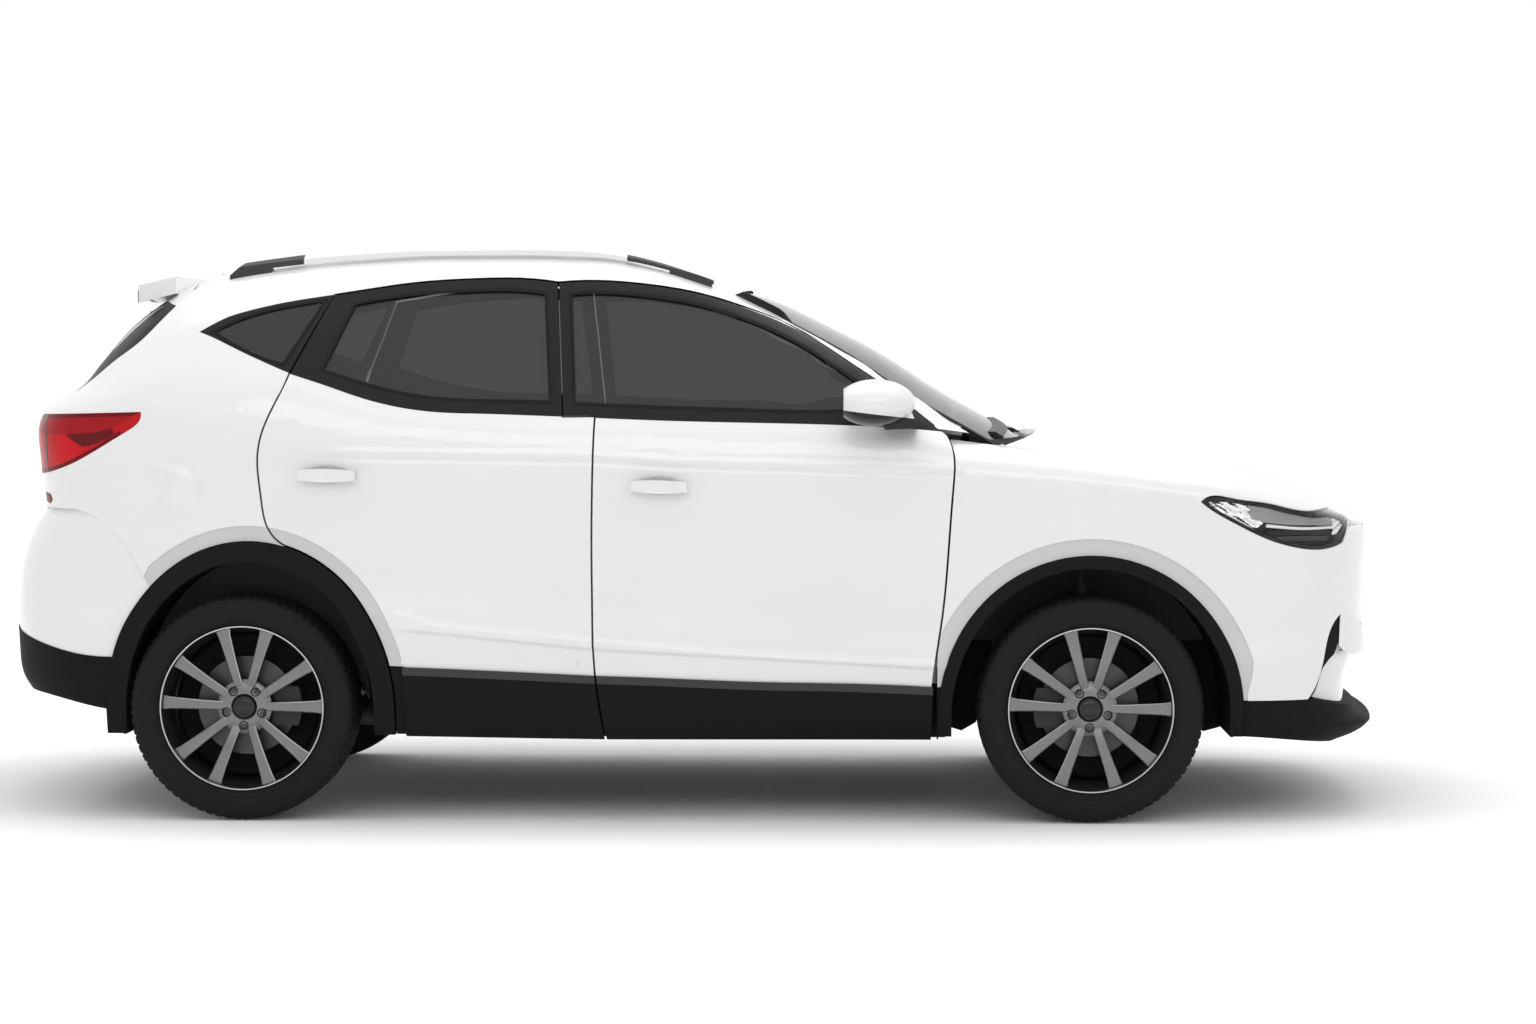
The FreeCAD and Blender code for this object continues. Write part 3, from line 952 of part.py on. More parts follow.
# Cabin: dashboard, seats and steering wheel
dash_back = bulkhead_x - seat_gap
dash_side = [[(dash_back, 760), (dash_back, 1105)], [(dash_back, 1105), (700, 1120), (600, 1095), (540, 1040)], [(540, 1040), (560, 900)], [(560, 900), (640, 760)], [(640, 760), (dash_back, 760)]]
nodes["dashboard"] = prism(dash_side, "side", -680, 680)


def seat(x, y, width, back_top):
    """A cushion and a reclined back with a head restraint."""
    half = width / 2
    cushion = prism([[(x, 300), (x + 430, 330)], [(x + 430, 330), (x + 500, 400)], [(x + 500, 400), (x + 490, 520)], [(x + 490, 520), (x, 470)], [(x, 470), (x, 300)]], "side", y - half, y + half)
    back = prism([[(x + 40, 420), (x - 140, back_top)], [(x - 140, back_top), (x - 60, back_top + 30)], [(x - 60, back_top + 30), (x + 150, 480)], [(x + 150, 480), (x + 40, 420)]], "side", y - half + 15, y + half - 15)
    rest = box(x - 165, x - 75, y - 130, y + 130, back_top + 50, back_top + 190)
    posts = [rod((x - 110, y - 60, back_top - 20), (x - 125, y - 60, back_top + 80), 8), rod((x - 110, y + 60, back_top - 20), (x - 125, y + 60, back_top + 80), 8)]
    return cushion.fuse([back, rest] + posts)


front_seat = seat(-60, -385, 500, 1060).fuse([box(0, 380, -600, -560, 258, 330), box(0, 380, -215, -175, 258, 330)])
nodes["front_seats"] = Part.makeCompound(front_seat.Solids + mirrored(front_seat).Solids)
bench = seat(-880, 0, 1160, 1040)
bench = bench.cut(box(-1200, -300, -700, 700, 200, 418)).fuse([seat(-880, side * 400, 420, 1040).common(box(-1200, -900, -700, 700, 1000, 1300)) for side in (-1, 1)])
nodes["rear_seat"] = largest(bench)
wheel_centre = Vector(420, 385, 985)
tilt = 24.0
column_way = Vector(-math.cos(math.radians(tilt)), 0, math.sin(math.radians(tilt)))
hoop = Part.makeTorus(182, 15, Vector(0, 0, 0), Vector(0, 0, 1))
hub = Part.makeCylinder(60, 40, Vector(0, 0, -30), Vector(0, 0, 1))
arms = [box(-178, 178, -14, 14, -14, 4), box(-14, 14, -178, 0, -14, 4)]
shaft = Part.makeCylinder(column_shaft_radius, 190, Vector(0, 0, -200), Vector(0, 0, 1))
hand_wheel = hoop.fuse([hub, shaft] + arms)
placement = FreeCAD.Placement(wheel_centre, FreeCAD.Rotation(Vector(0, 0, 1), column_way))
hand_wheel.Placement = placement
nodes["steering_wheel"] = hand_wheel
column = Part.makeCylinder(34, 290, Vector(0, 0, -350), Vector(0, 0, 1))
bore = Part.makeCylinder(column_shaft_radius + running_gap, 160, Vector(0, 0, -210), Vector(0, 0, 1))
column.Placement = placement
bore.Placement = placement
nodes["dashboard"] = nodes["dashboard"].fuse(column).cut(bore)

os.makedirs("parts", exist_ok=True)
for name, shape in nodes.items():
    shape.exportStep("parts/" + name + ".step")
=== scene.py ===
"""The compact sport utility car: finishes, lamps, wheels, trims and cabin, dressed over the CAD frame.

Lengths are in metres, with X forward, Y to the car's left and Z up. Side-view outlines are pairs of
station and height in millimetres. Most pieces are made on the right and mirrored to the left.
"""
import bmesh
import bpy
import math
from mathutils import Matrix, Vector


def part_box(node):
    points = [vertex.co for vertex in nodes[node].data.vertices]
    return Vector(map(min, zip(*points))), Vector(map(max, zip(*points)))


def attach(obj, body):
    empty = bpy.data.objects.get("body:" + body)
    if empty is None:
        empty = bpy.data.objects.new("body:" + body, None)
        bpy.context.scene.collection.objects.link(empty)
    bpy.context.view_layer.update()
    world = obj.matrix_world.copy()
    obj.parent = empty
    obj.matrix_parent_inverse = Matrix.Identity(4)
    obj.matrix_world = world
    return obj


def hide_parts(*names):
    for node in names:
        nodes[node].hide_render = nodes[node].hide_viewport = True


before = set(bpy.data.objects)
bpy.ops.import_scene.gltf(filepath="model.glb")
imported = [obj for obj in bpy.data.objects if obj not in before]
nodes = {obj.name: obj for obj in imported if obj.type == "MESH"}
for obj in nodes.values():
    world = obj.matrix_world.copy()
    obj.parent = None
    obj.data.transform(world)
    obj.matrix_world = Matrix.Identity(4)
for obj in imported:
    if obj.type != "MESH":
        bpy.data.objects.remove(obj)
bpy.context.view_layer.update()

sides = ("right", "left")
places = ("front_right", "front_left", "rear_right", "rear_left")


def in_scene(name, data):
    thing = bpy.data.objects.new(name, data)
    bpy.context.scene.collection.objects.link(thing)
    return thing


# Camera at the photograph's place, ten metres from the near wheels; lens and film in millimetres
camera_place, camera_aim = (0.527, -10.880, 1.400), (0.251, -0.880, 0.939)
focal_length, film_width = 78.2, 36.0


def aimed(name, data, place, aim):
    """A camera or a lamp at a place, turned toward an aim."""
    thing = in_scene(name, data)
    thing.location = place
    thing.rotation_euler = (Vector(aim) - Vector(place)).to_track_quat("-Z", "Y").to_euler()
    return thing


def make_camera():
    lens = bpy.data.cameras.new("camera")
    lens.lens = focal_length
    lens.sensor_width = film_width
    bpy.context.scene.camera = aimed("camera", lens, camera_place, camera_aim)


def make_lamp(name, place, aim, size, watts):
    lamp = bpy.data.lights.new(name, "AREA")
    lamp.shape = "RECTANGLE"
    lamp.size, lamp.size_y = size
    lamp.energy = watts
    aimed(name, lamp, place, aim)


# Node helpers
def feed(tree, source, target):
    """Link a socket to its source, or set a plain value on it."""
    if isinstance(source, bpy.types.NodeSocket):
        tree.links.new(source, target)
    else:
        target.default_value = source


def maths(tree, operation, a, b):
    node = tree.nodes.new("ShaderNodeMath")
    node.operation = operation
    feed(tree, a, node.inputs[0])
    feed(tree, b, node.inputs[1])
    return node.outputs[0]


def average(tree, a, b):
    return maths(tree, "MULTIPLY", maths(tree, "ADD", a, b), 0.5)


def remap(tree, value, low, high, to_low, to_high):
    node = tree.nodes.new("ShaderNodeMapRange")
    for source, socket in zip((value, low, high, to_low, to_high), node.inputs):
        feed(tree, source, socket)
    return node.outputs[0]


def noise(tree, place, scale, detail=2.0, rough=0.5):
    node = tree.nodes.new("ShaderNodeTexNoise")
    for label, source in (("Vector", place), ("Scale", scale), ("Detail", detail), ("Roughness", rough)):
        feed(tree, source, node.inputs[label])
    return node.outputs["Fac"]


# Patterns: a shade and a height that change over the surface
def paint_skin(tree, scale, place):
    return noise(tree, place, 2.2, 3.0), noise(tree, place, scale, 1.0)


def moulded_grain(tree, scale, place):
    cells = tree.nodes.new("ShaderNodeTexVoronoi")
    cells.feature = "DISTANCE_TO_EDGE"
    feed(tree, place, cells.inputs["Vector"])
    feed(tree, scale, cells.inputs["Scale"])
    pits = remap(tree, cells.outputs["Distance"], 0.0, 0.25, 0.0, 1.0)
    film = noise(tree, place, 5.0, 5.0, 0.6)
    return maths(tree, "ADD", maths(tree, "MULTIPLY", pits, 0.35), maths(tree, "MULTIPLY", film, 0.65)), pits


def cast_skin(tree, scale, place):
    coarse = noise(tree, place, scale, 4.0, 0.65)
    return average(tree, coarse, noise(tree, place, 9.0, 4.0, 0.6)), coarse


def rubber_film(tree, scale, place):
    return noise(tree, place, 11.0, 5.0, 0.7), noise(tree, place, scale, 2.0)


def drawn_metal(tree, scale, place):
    stretch = tree.nodes.new("ShaderNodeMapping")
    stretch.inputs["Scale"].default_value = (0.05, 1.0, 1.0)
    feed(tree, place, stretch.inputs["Vector"])
    return noise(tree, place, 14.0, 3.0), noise(tree, stretch.outputs["Vector"], scale, 4.0, 0.7)


def woven_cloth(tree, scale, place):
    threads = []
    for axis in ("X", "Z"):
        wave = tree.nodes.new("ShaderNodeTexWave")
        wave.bands_direction = axis
        wave.inputs["Distortion"].default_value = 0.6
        feed(tree, place, wave.inputs["Vector"])
        feed(tree, scale, wave.inputs["Scale"])
        threads.append(wave.outputs["Fac"])
    weave = maths(tree, "MAXIMUM", *threads)
    return average(tree, weave, noise(tree, place, 6.0, 4.0, 0.6)), weave


def build_effect(name, default_scale, pattern):
    """A shader node group with a scale as its input, and the pattern's shade and height as its outputs."""
    tree = bpy.data.node_groups.new(name, "ShaderNodeTree")
    socket = tree.interface.new_socket(name="Scale", in_out="INPUT", socket_type="NodeSocketFloat")
    socket.default_value = default_scale
    for label in ("Shade", "Height"):
        tree.interface.new_socket(name=label, in_out="OUTPUT", socket_type="NodeSocketFloat")
    given = tree.nodes.new("NodeGroupInput")
    result = tree.nodes.new("NodeGroupOutput")
    place = tree.nodes.new("ShaderNodeTexCoord").outputs["Object"]
    for label, source in zip(("Shade", "Height"), pattern(tree, given.outputs["Scale"], place)):
        feed(tree, source, result.inputs[label])
    return tree


effects = {key: build_effect(name, scale, pattern) for key, name, scale, pattern in (
    ("paint", "paint skin", 260.0, paint_skin), ("grain", "moulded grain", 700.0, moulded_grain),
    ("cast", "cast skin", 90.0, cast_skin), ("rubber", "rubber film", 350.0, rubber_film),
    ("drawn", "drawn metal", 40.0, drawn_metal), ("cloth", "woven cloth", 520.0, woven_cloth))}


shader_labels = {
    "shine": "Specular IOR Level", "coat": "Coat Weight", "coat_rough": "Coat Roughness", "metal": "Metallic",
    "clear": "Transmission Weight", "bend": "IOR", "sheen": "Sheen Weight"}


def finish_for(name, effect, scale, colour, tint, rough, bump, depth=0.0002, **fixed):
    """A material with colour, roughness and relief from one effect, and fixed values on the shader itself."""
    material = bpy.data.materials.new(name)
    material.use_nodes = True
    tree = material.node_tree
    shader = tree.nodes["Principled BSDF"]
    pattern = tree.nodes.new("ShaderNodeGroup")
    pattern.node_tree = effects[effect]
    pattern.inputs["Scale"].default_value = scale
    shade = pattern.outputs["Shade"]
    blend = tree.nodes.new("ShaderNodeMix")
    blend.data_type = "RGBA"
    for index, source in ((0, shade), (6, (*colour, 1.0)), (7, (*tint, 1.0))):
        feed(tree, source, blend.inputs[index])
    feed(tree, blend.outputs[2], shader.inputs["Base Color"])
    feed(tree, remap(tree, shade, 0.2, 0.8, *rough), shader.inputs["Roughness"])
    relief = tree.nodes.new("ShaderNodeBump")
    for label, source in (("Strength", bump), ("Distance", depth), ("Height", pattern.outputs["Height"])):
        feed(tree, source, relief.inputs[label])
    feed(tree, relief.outputs["Normal"], shader.inputs["Normal"])
    for key, value in fixed.items():
        shader.inputs[shader_labels[key]].default_value = value
    return material


# Effect, its scale, colour, tint in the shaded parts, range of roughness, relief, and fixed values
red_coat = dict(shine=0.12, coat=0.15, coat_rough=0.03)
finishes = {
    "white_paint": ("paint", 260.0, (0.80, 0.80, 0.80), (0.83, 0.83, 0.825), (0.30, 0.36), 0.02,
                    dict(coat=1.0, coat_rough=0.04)),
    "cladding": ("grain", 700.0, (0.006, 0.006, 0.0065), (0.010, 0.010, 0.0105), (0.58, 0.70), 0.25,
                 dict(shine=0.10)),
    "satin_black": ("grain", 900.0, (0.008, 0.008, 0.009), (0.013, 0.013, 0.014), (0.34, 0.44), 0.06,
                    dict(shine=0.3)),
    "gloss_black": ("paint", 200.0, (0.004, 0.004, 0.005), (0.007, 0.007, 0.008), (0.12, 0.2), 0.02,
                    dict(shine=0.2, coat=0.45, coat_rough=0.03)),
    "dark_glass": ("paint", 60.0, (0.155, 0.15, 0.145), (0.195, 0.187, 0.18), (0.0, 0.02), 0.0,
                   dict(clear=0.90, shine=0.35, bend=1.45)),
    "screen_glass": ("paint", 60.0, (0.16, 0.17, 0.17), (0.20, 0.21, 0.21), (0.0, 0.02), 0.0,
                     dict(clear=1.0, bend=1.18)),
    # Painted shade: a grey for the bands outside the wheel arches, where the white paint of a bevel lies in
    # shade
    "shaded_paint": ("paint", 260.0, (0.56, 0.56, 0.56), (0.60, 0.60, 0.60), (0.34, 0.42), 0.02,
                     dict(coat=0.6, coat_rough=0.08)),
    "graphite": ("grain", 900.0, (0.030, 0.030, 0.031), (0.045, 0.045, 0.046), (0.40, 0.5), 0.05,
                 dict(shine=0.3)),
    "frame_black": ("grain", 900.0, (0.011, 0.011, 0.0115), (0.017, 0.017, 0.0175), (0.34, 0.44), 0.05,
                    dict(shine=0.16)),
    # Painted highlight: a lighter grey for the claddings' top bevels, for the light that falls on them from
    # above
    "cladding_light": ("grain", 700.0, (0.032, 0.032, 0.033), (0.044, 0.044, 0.046), (0.5, 0.62), 0.25,
                       dict(shine=0.3)),
    "lamp_black": ("paint", 200.0, (0.003, 0.003, 0.003), (0.005, 0.005, 0.005), (0.35, 0.45), 0.02,
                   dict(shine=0.25)),
    "lamp_silver": ("drawn", 90.0, (0.22, 0.22, 0.225), (0.34, 0.34, 0.345), (0.25, 0.35), 0.05,
                    dict(metal=0.9)),
    "lamp_white": ("paint", 90.0, (0.85, 0.85, 0.84), (0.92, 0.92, 0.91), (0.2, 0.3), 0.02, {}),
    "lens": ("paint", 60.0, (0.94, 0.95, 0.95), (0.97, 0.97, 0.97), (0.0, 0.01), 0.0,
             dict(clear=1.0, bend=1.20)),
    "red_core": ("paint", 120.0, (0.46, 0.004, 0.008), (0.52, 0.006, 0.012), (0.2, 0.3), 0.05, red_coat),
    "red_mid": ("paint", 120.0, (0.30, 0.004, 0.008), (0.38, 0.006, 0.012), (0.2, 0.3), 0.04, red_coat),
    "red_bright": ("paint", 120.0, (0.56, 0.004, 0.010), (0.62, 0.006, 0.014), (0.2, 0.3), 0.04, red_coat),
    "red_dark": ("paint", 120.0, (0.11, 0.002, 0.004), (0.15, 0.003, 0.006), (0.25, 0.35), 0.05, red_coat),
    "chrome": ("drawn", 60.0, (0.72, 0.72, 0.73), (0.80, 0.80, 0.81), (0.05, 0.12), 0.02, dict(metal=1.0)),
    "machined": ("drawn", 160.0, (0.155, 0.155, 0.158), (0.22, 0.22, 0.224), (0.28, 0.42), 0.06,
                 dict(metal=1.0)),
    "rim_lip": ("drawn", 160.0, (0.42, 0.42, 0.43), (0.50, 0.50, 0.51), (0.22, 0.30), 0.05, dict(metal=1.0)),
    "rim_dark": ("cast", 120.0, (0.008, 0.008, 0.0085), (0.014, 0.014, 0.0145), (0.38, 0.52), 0.05,
                 dict(shine=0.3, coat=0.15, coat_rough=0.2)),
    "rubber": ("rubber", 350.0, (0.007, 0.007, 0.007), (0.012, 0.012, 0.012), (0.62, 0.8), 0.2,
               dict(shine=0.17)),
    "iron": ("drawn", 220.0, (0.055, 0.055, 0.055), (0.10, 0.098, 0.095), (0.35, 0.5), 0.2, dict(metal=1.0)),
    "cast_iron": ("cast", 140.0, (0.022, 0.022, 0.023), (0.05, 0.048, 0.046), (0.55, 0.75), 0.5,
                  dict(depth=0.0006)),
    "engine": ("cast", 110.0, (0.12, 0.12, 0.12), (0.22, 0.22, 0.22), (0.45, 0.6), 0.5,
               dict(depth=0.0006, metal=0.8)),
    "pipe": ("cast", 60.0, (0.20, 0.19, 0.18), (0.32, 0.30, 0.28), (0.35, 0.55), 0.2, dict(metal=1.0)),
    "undercoat": ("cast", 80.0, (0.035, 0.035, 0.036), (0.07, 0.068, 0.065), (0.7, 0.85), 0.5,
                  dict(depth=0.0008)),
    "tank": ("grain", 300.0, (0.016, 0.016, 0.017), (0.03, 0.03, 0.03), (0.5, 0.6), 0.2, {}),
    "cabin_black": ("grain", 800.0, (0.020, 0.020, 0.021), (0.035, 0.035, 0.036), (0.55, 0.7), 0.3, {}),
    "cloth": ("cloth", 520.0, (0.030, 0.029, 0.028), (0.070, 0.068, 0.065), (0.8, 0.95), 0.5,
              dict(depth=0.0005, sheen=0.3)),
    "headlining": ("cloth", 700.0, (0.36, 0.355, 0.34), (0.46, 0.455, 0.44), (0.85, 0.95), 0.3,
                   dict(depth=0.0003)),
    "carpet": ("rubber", 500.0, (0.012, 0.012, 0.012), (0.035, 0.034, 0.033), (0.9, 1.0), 0.8,
               dict(depth=0.002)),
    "mirror_glass": ("paint", 60.0, (0.86, 0.87, 0.88), (0.90, 0.90, 0.91), (0.01, 0.02), 0.0,
                     dict(metal=1.0)),
}
finish = {name: finish_for(name, *values, **fixed) for name, (*values, fixed) in finishes.items()}

# Mesh helpers; panels that aren't named here ride on the car's body
carriers = {
    "front_door_right": "front_door_body_SIDE", "front_door_cladding_right": "front_door_body_SIDE",
    "rear_door_right": "rear_door_body_SIDE", "rear_door_cladding_right": "rear_door_body_SIDE",
    "tailgate": "tailgate_body"}
weld_gap = 2e-5
cut_gap = 1e-6
curve_step = 0.02
rim_sink = 0.0003
lamp_cell = 0.006


def add_piece(name, mesh, materials, body):
    for key in [materials] if isinstance(materials, str) else materials:
        mesh.materials.append(finish[key])
    thing = in_scene(name, mesh)
    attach(thing, body)
    return thing


def welded(mesh):
    """An editable copy of a mesh, its doubled points joined and all faces in the first material slot."""
    form = bmesh.new()
    form.from_mesh(mesh)
    bmesh.ops.remove_doubles(form, verts=form.verts, dist=weld_gap)
    for face in form.faces:
        face.material_index = 0
    return form


def store(name, form):
    mesh = bpy.data.meshes.new(name)
    form.to_mesh(mesh)
    form.free()
    return mesh


def smooth_under(form, degrees):
    """Smooth shading, with a sharp edge wherever two faces meet at more than the angle."""
    limit = math.radians(degrees)
    for face in form.faces:
        face.smooth = True
    for edge in form.edges:
        edge.smooth = len(edge.link_faces) == 2 and edge.calc_face_angle(0.0) < limit


def to_mesh(name, form, degrees=35.0):
    bmesh.ops.recalc_face_normals(form, faces=form.faces)
    smooth_under(form, degrees)
    return store(name, form)


def mirror_mesh(mesh, name):
    """The same mesh on the car's other side."""
    form = bmesh.new()
    form.from_mesh(mesh)
    for vert in form.verts:
        vert.co.y = -vert.co.y
    bmesh.ops.reverse_faces(form, faces=form.faces)
    return store(name, form)


def bridge(form, a, b, closed=True):
    """Faces between two matching rows of points."""
    count = len(a)
    return [form.faces.new((a[j], a[(j + 1) % count], b[(j + 1) % count], b[j]))
            for j in range(count if closed else count - 1)]


def grid_mesh(name, rows, closed_rows=False, closed_columns=False, degrees=35.0):
    """A mesh over rows of points; rows or columns may close on themselves."""
    form = bmesh.new()
    rings = [[form.verts.new(p) for p in row] for row in rows]
    for a, b in zip(rings, rings[1:] + rings[:1] if closed_rows else rings[1:]):
        bridge(form, a, b, closed_columns)
    bmesh.ops.remove_doubles(form, verts=form.verts, dist=cut_gap)
    return to_mesh(name, form, degrees)


def soft_curve(points, count):
    """Points along a smooth line through the given ones."""
    whole = [points[0]] + list(points) + [points[-1]]
    lengths = [0.0]
    for p, q in zip(points, points[1:]):
        lengths.append(lengths[-1] + math.dist(p, q))
    made = []
    for k in range(count):
        reach = lengths[-1] * k / (count - 1)
        i = 0
        while i < len(points) - 2 and reach > lengths[i + 1]:
            i += 1
        t = (reach - lengths[i]) / max(lengths[i + 1] - lengths[i], 1e-9)
        a, b, c, d = whole[i:i + 4]
        made.append(tuple(
            0.5 * (2 * b[n] + (c[n] - a[n]) * t + (2 * a[n] - 5 * b[n] + 4 * c[n] - d[n]) * t * t
                   + (3 * b[n] - a[n] - 3 * c[n] + d[n]) * t ** 3)
            for n in range(len(b))))
    return made


def metres(points):
    """Points in millimetres, in metres; also an outline with straight sides."""
    return [(x / 1000, z / 1000) for x, z in points]


def outline_of(*runs):
    """A closed outline from runs of points in millimetres, which straight lines join.

    A run of one or two points gives corners, a longer one is a smooth line through its points.
    """
    loop = []
    for run in map(metres, runs):
        if len(run) > 2:
            length = sum(math.dist(p, q) for p, q in zip(run, run[1:]))
            run = soft_curve(run, max(len(run) * 2, int(length / curve_step) + 2))
        for p in run:
            if not loop or math.dist(loop[-1], p) > 1e-4:
                loop.append(p)
    if math.dist(loop[0], loop[-1]) < 1e-4:
        loop.pop()
    return loop


def inset_outline(outline, distance):
    """An outline moved inward by a distance, corner by corner."""
    after_each = outline[1:] + outline[:1]
    area = sum(p[0] * q[1] - q[0] * p[1] for p, q in zip(outline, after_each))
    side = 1.0 if area > 0 else -1.0
    moved = []
    for before, here, after in zip(outline[-1:] + outline[:-1], outline, after_each):
        a = Vector((here[0] - before[0], here[1] - before[1])).normalized()
        b = Vector((after[0] - here[0], after[1] - here[1])).normalized()
        square = Vector((-a.y, a.x))
        normal = Vector((-(a + b).y, (a + b).x))
        if normal.length < 1e-6:
            normal = square.copy()
        normal.normalize()
        stretch = 1.0 / max(abs(normal.dot(square)), 0.5)
        moved.append(tuple(here[n] + normal[n] * distance * side * stretch for n in (0, 1)))
    return moved


def slice_form(form, spot, normal, **clear):
    """Cut a form along a plane; clear_inner or clear_outer takes one side away."""
    everything = form.verts[:] + form.edges[:] + form.faces[:]
    bmesh.ops.bisect_plane(form, geom=everything, plane_co=spot, plane_no=normal, dist=cut_gap, **clear)


def cut_cells(form, length, height):
    """Cut the faces along upright and level lines, fine enough to follow a height that changes."""
    for axis, size in ((0, length), (2, height)):
        values = [v.co[axis] for v in form.verts]
        low, high = min(values), max(values)
        steps = max(int((high - low) / size), 1)
        normal = Vector((0, 0, 0))
        normal[axis] = 1.0
        for i in range(1, steps):
            slice_form(form, normal * (low + (high - low) * i / steps), normal)


def keep_faces(form, keep):
    """Delete the faces that a test of their middle and normal turns down."""
    drop = [f for f in form.faces if not keep(f.calc_center_median(), f.normal)]
    bmesh.ops.delete(form, geom=drop, context="FACES")


def pair(name, mesh, materials, body):
    """One piece on the right and its mirror image on the left; the body's name may hold SIDE."""
    made = []
    for side in sides:
        own = mesh if side == "right" else mirror_mesh(mesh, name + "_left")
        made.append(add_piece(f"{name}_{side}", own, materials, body.replace("SIDE", side)))
    return made


def cutter_mesh(outline, outer=-1.3, inner=-0.3):
    """A block through the car's right-hand side, with a side-view outline."""
    block = bmesh.new()
    ends = [[block.verts.new((x, y, z)) for x, z in outline] for y in (outer, inner)]
    count = len(outline)
    block.faces.new(ends[0])
    block.faces.new(ends[1][::-1])
    for i in range(count):
        j = (i + 1) % count
        block.faces.new((ends[0][j], ends[0][i], ends[1][i], ends[1][j]))
    bmesh.ops.recalc_face_normals(block, faces=block.faces)
    return store("cutter", block)


def cut_copy(node, outline, without=None):
    """The part of a CAD panel inside a side-view outline, less a second outline, as a mesh of its own."""
    whole = in_scene("cutting", store("cutting", welded(nodes[node].data)))
    used = [whole]
    for operation, border in (("INTERSECT", outline), ("DIFFERENCE", without)):
        if border:
            used.append(in_scene("cutter", cutter_mesh(border)))
            cut = whole.modifiers.new("cut", "BOOLEAN")
            cut.operation = operation
            cut.solver = "EXACT"
            cut.object = used[-1]
    view_now = bpy.context.evaluated_depsgraph_get()
    result = bpy.data.meshes.new_from_object(whole.evaluated_get(view_now))
    for thing in used:
        bpy.data.objects.remove(thing)
    return result


def skin_shell(name, mesh, depth, thickness, ripple=None):
    """A closed shell under a mesh's outward faces: its outer face at a depth, its inner face further in."""
    form = welded(mesh)
    keep_faces(form, facing_right)
    if ripple:
        cut_cells(form, lamp_cell, lamp_cell)
    form.normal_update()
    for vert in form.verts:
        vert.co -= vert.normal * (depth + (ripple(vert.co.x, vert.co.z) if ripple else 0.0))
    bmesh.ops.solidify(form, geom=form.faces[:], thickness=thickness)
    return to_mesh(name, form, 30.0)


def spot_key(vert):
    return tuple(round(c, 7) for c in vert.co)


def lifted(name, mesh, lift, keep, cell=None):
    """The kept faces of a mesh, moved out along their normals, with a rim that reaches back down.

    The lift is a value or a function of station and height; a cell size cuts the faces fine enough for it.
    """
    form = welded(mesh)
    keep_faces(form, keep)
    if cell:
        cut_cells(form, *cell)
    form.normal_update()
    feet = {}
    for vert in form.verts:
        rise = lift(vert.co.x, vert.co.z) if callable(lift) else lift
        foot = vert.co - vert.normal * rim_sink
        vert.co += vert.normal * rise
        feet[spot_key(vert)] = foot
    rim = bmesh.ops.extrude_edge_only(form, edges=[e for e in form.edges if e.is_boundary])
    for vert in rim["geom"]:
        if isinstance(vert, bmesh.types.BMVert):
            vert.co = feet[spot_key(vert)]
    smooth_under(form, 30.0)
    return store(name, form)


def overlay(name, node, outline, lift, keep, key, without=None, cell=None):
    """A layer on the part of a CAD panel that an outline encloses, on both sides of the car."""
    mesh = lifted(name, cut_copy(node, outline, without), lift, keep, cell)
    return pair(name, mesh, key, carriers.get(node, "body"))


def facing_right(centre, normal):
    return normal.y < -0.05 and centre.y < 0


def outer_faces(centre, normal):
    """Faces of the right-hand side that look outward, forward, back or down."""
    return centre.y < -0.55 and (normal.y < -0.05 or abs(normal.x) > 0.4 or normal.z < -0.4)


# Black frames and rubber seals round the side windows
cover_lift = 0.0006
leg_lift = 0.0014
seal_lift = 0.0016
band_lift = 0.0009
seal_width = 0.009
belt_front = [(-420, 1227), (-360, 1225), (-33, 1212), (442, 1201), (700, 1187), (830, 1172)]
belt_rear = [(-1215, 1362), (-1202, 1356), (-1106, 1325), (-934, 1269), (-769, 1240), (-559, 1232), (-340, 1224)]
quarter_top = [(-1480, 1480), (-1425, 1512), (-1368, 1536), (-1230, 1570), (-1060, 1597)]
quarter_low = [(-1120, 1330), (-1202, 1358), (-1330, 1413), (-1430, 1460), (-1480, 1480)]
front_window = outline_of(
    [(-330, 1268)],
    [(-352, 1592), (-290, 1596), (-129, 1586), (23, 1561), (184, 1512), (330, 1446), (490, 1343), (600, 1262)],
    [(600, 1262), (440, 1246), (200, 1249), (-33, 1256), (-330, 1268)])
rear_window = outline_of(
    [(-410, 1272)], [(-436, 1594), (-515, 1603), (-640, 1603), (-839, 1590), (-1012, 1562)],
    [(-1092, 1368), (-934, 1318), (-769, 1286), (-600, 1277), (-410, 1272)])
quarter_window = outline_of(
    [(-1218, 1386)], [(-1112, 1572), (-1230, 1552), (-1345, 1520), (-1430, 1480)],
    [(-1430, 1480), (-1340, 1430), (-1218, 1386)])


def window_frames():
    for name, node, outline in (
            ("front_window_frame", "front_door_right", outline_of(belt_front, [(830, 1760), (-420, 1760)])),
            ("rear_window_frame", "rear_door_right", outline_of(belt_rear, [(-340, 1760), (-1215, 1760)])),
            ("quarter_frame", "body_sides", outline_of(quarter_top, quarter_low))):
        overlay(name, node, outline, cover_lift, outer_faces, "frame_black")
    for name, node, outline in (
            ("front_window_seal", "front_door_right", front_window),
            ("rear_window_seal", "rear_door_right", rear_window),
            ("quarter_window_seal", "body_sides", quarter_window)):
        ring = inset_outline(outline, -seal_width)
        overlay(name, node, ring, seal_lift, facing_right, "rubber")


# Dark corner panels beside the rear window, feet of the roof rails, and covers at the cladding's ends
wedge_edge = [(-1573, 1561), (-1665, 1456), (-1750, 1392), (-1814, 1342), (-1884, 1300)]


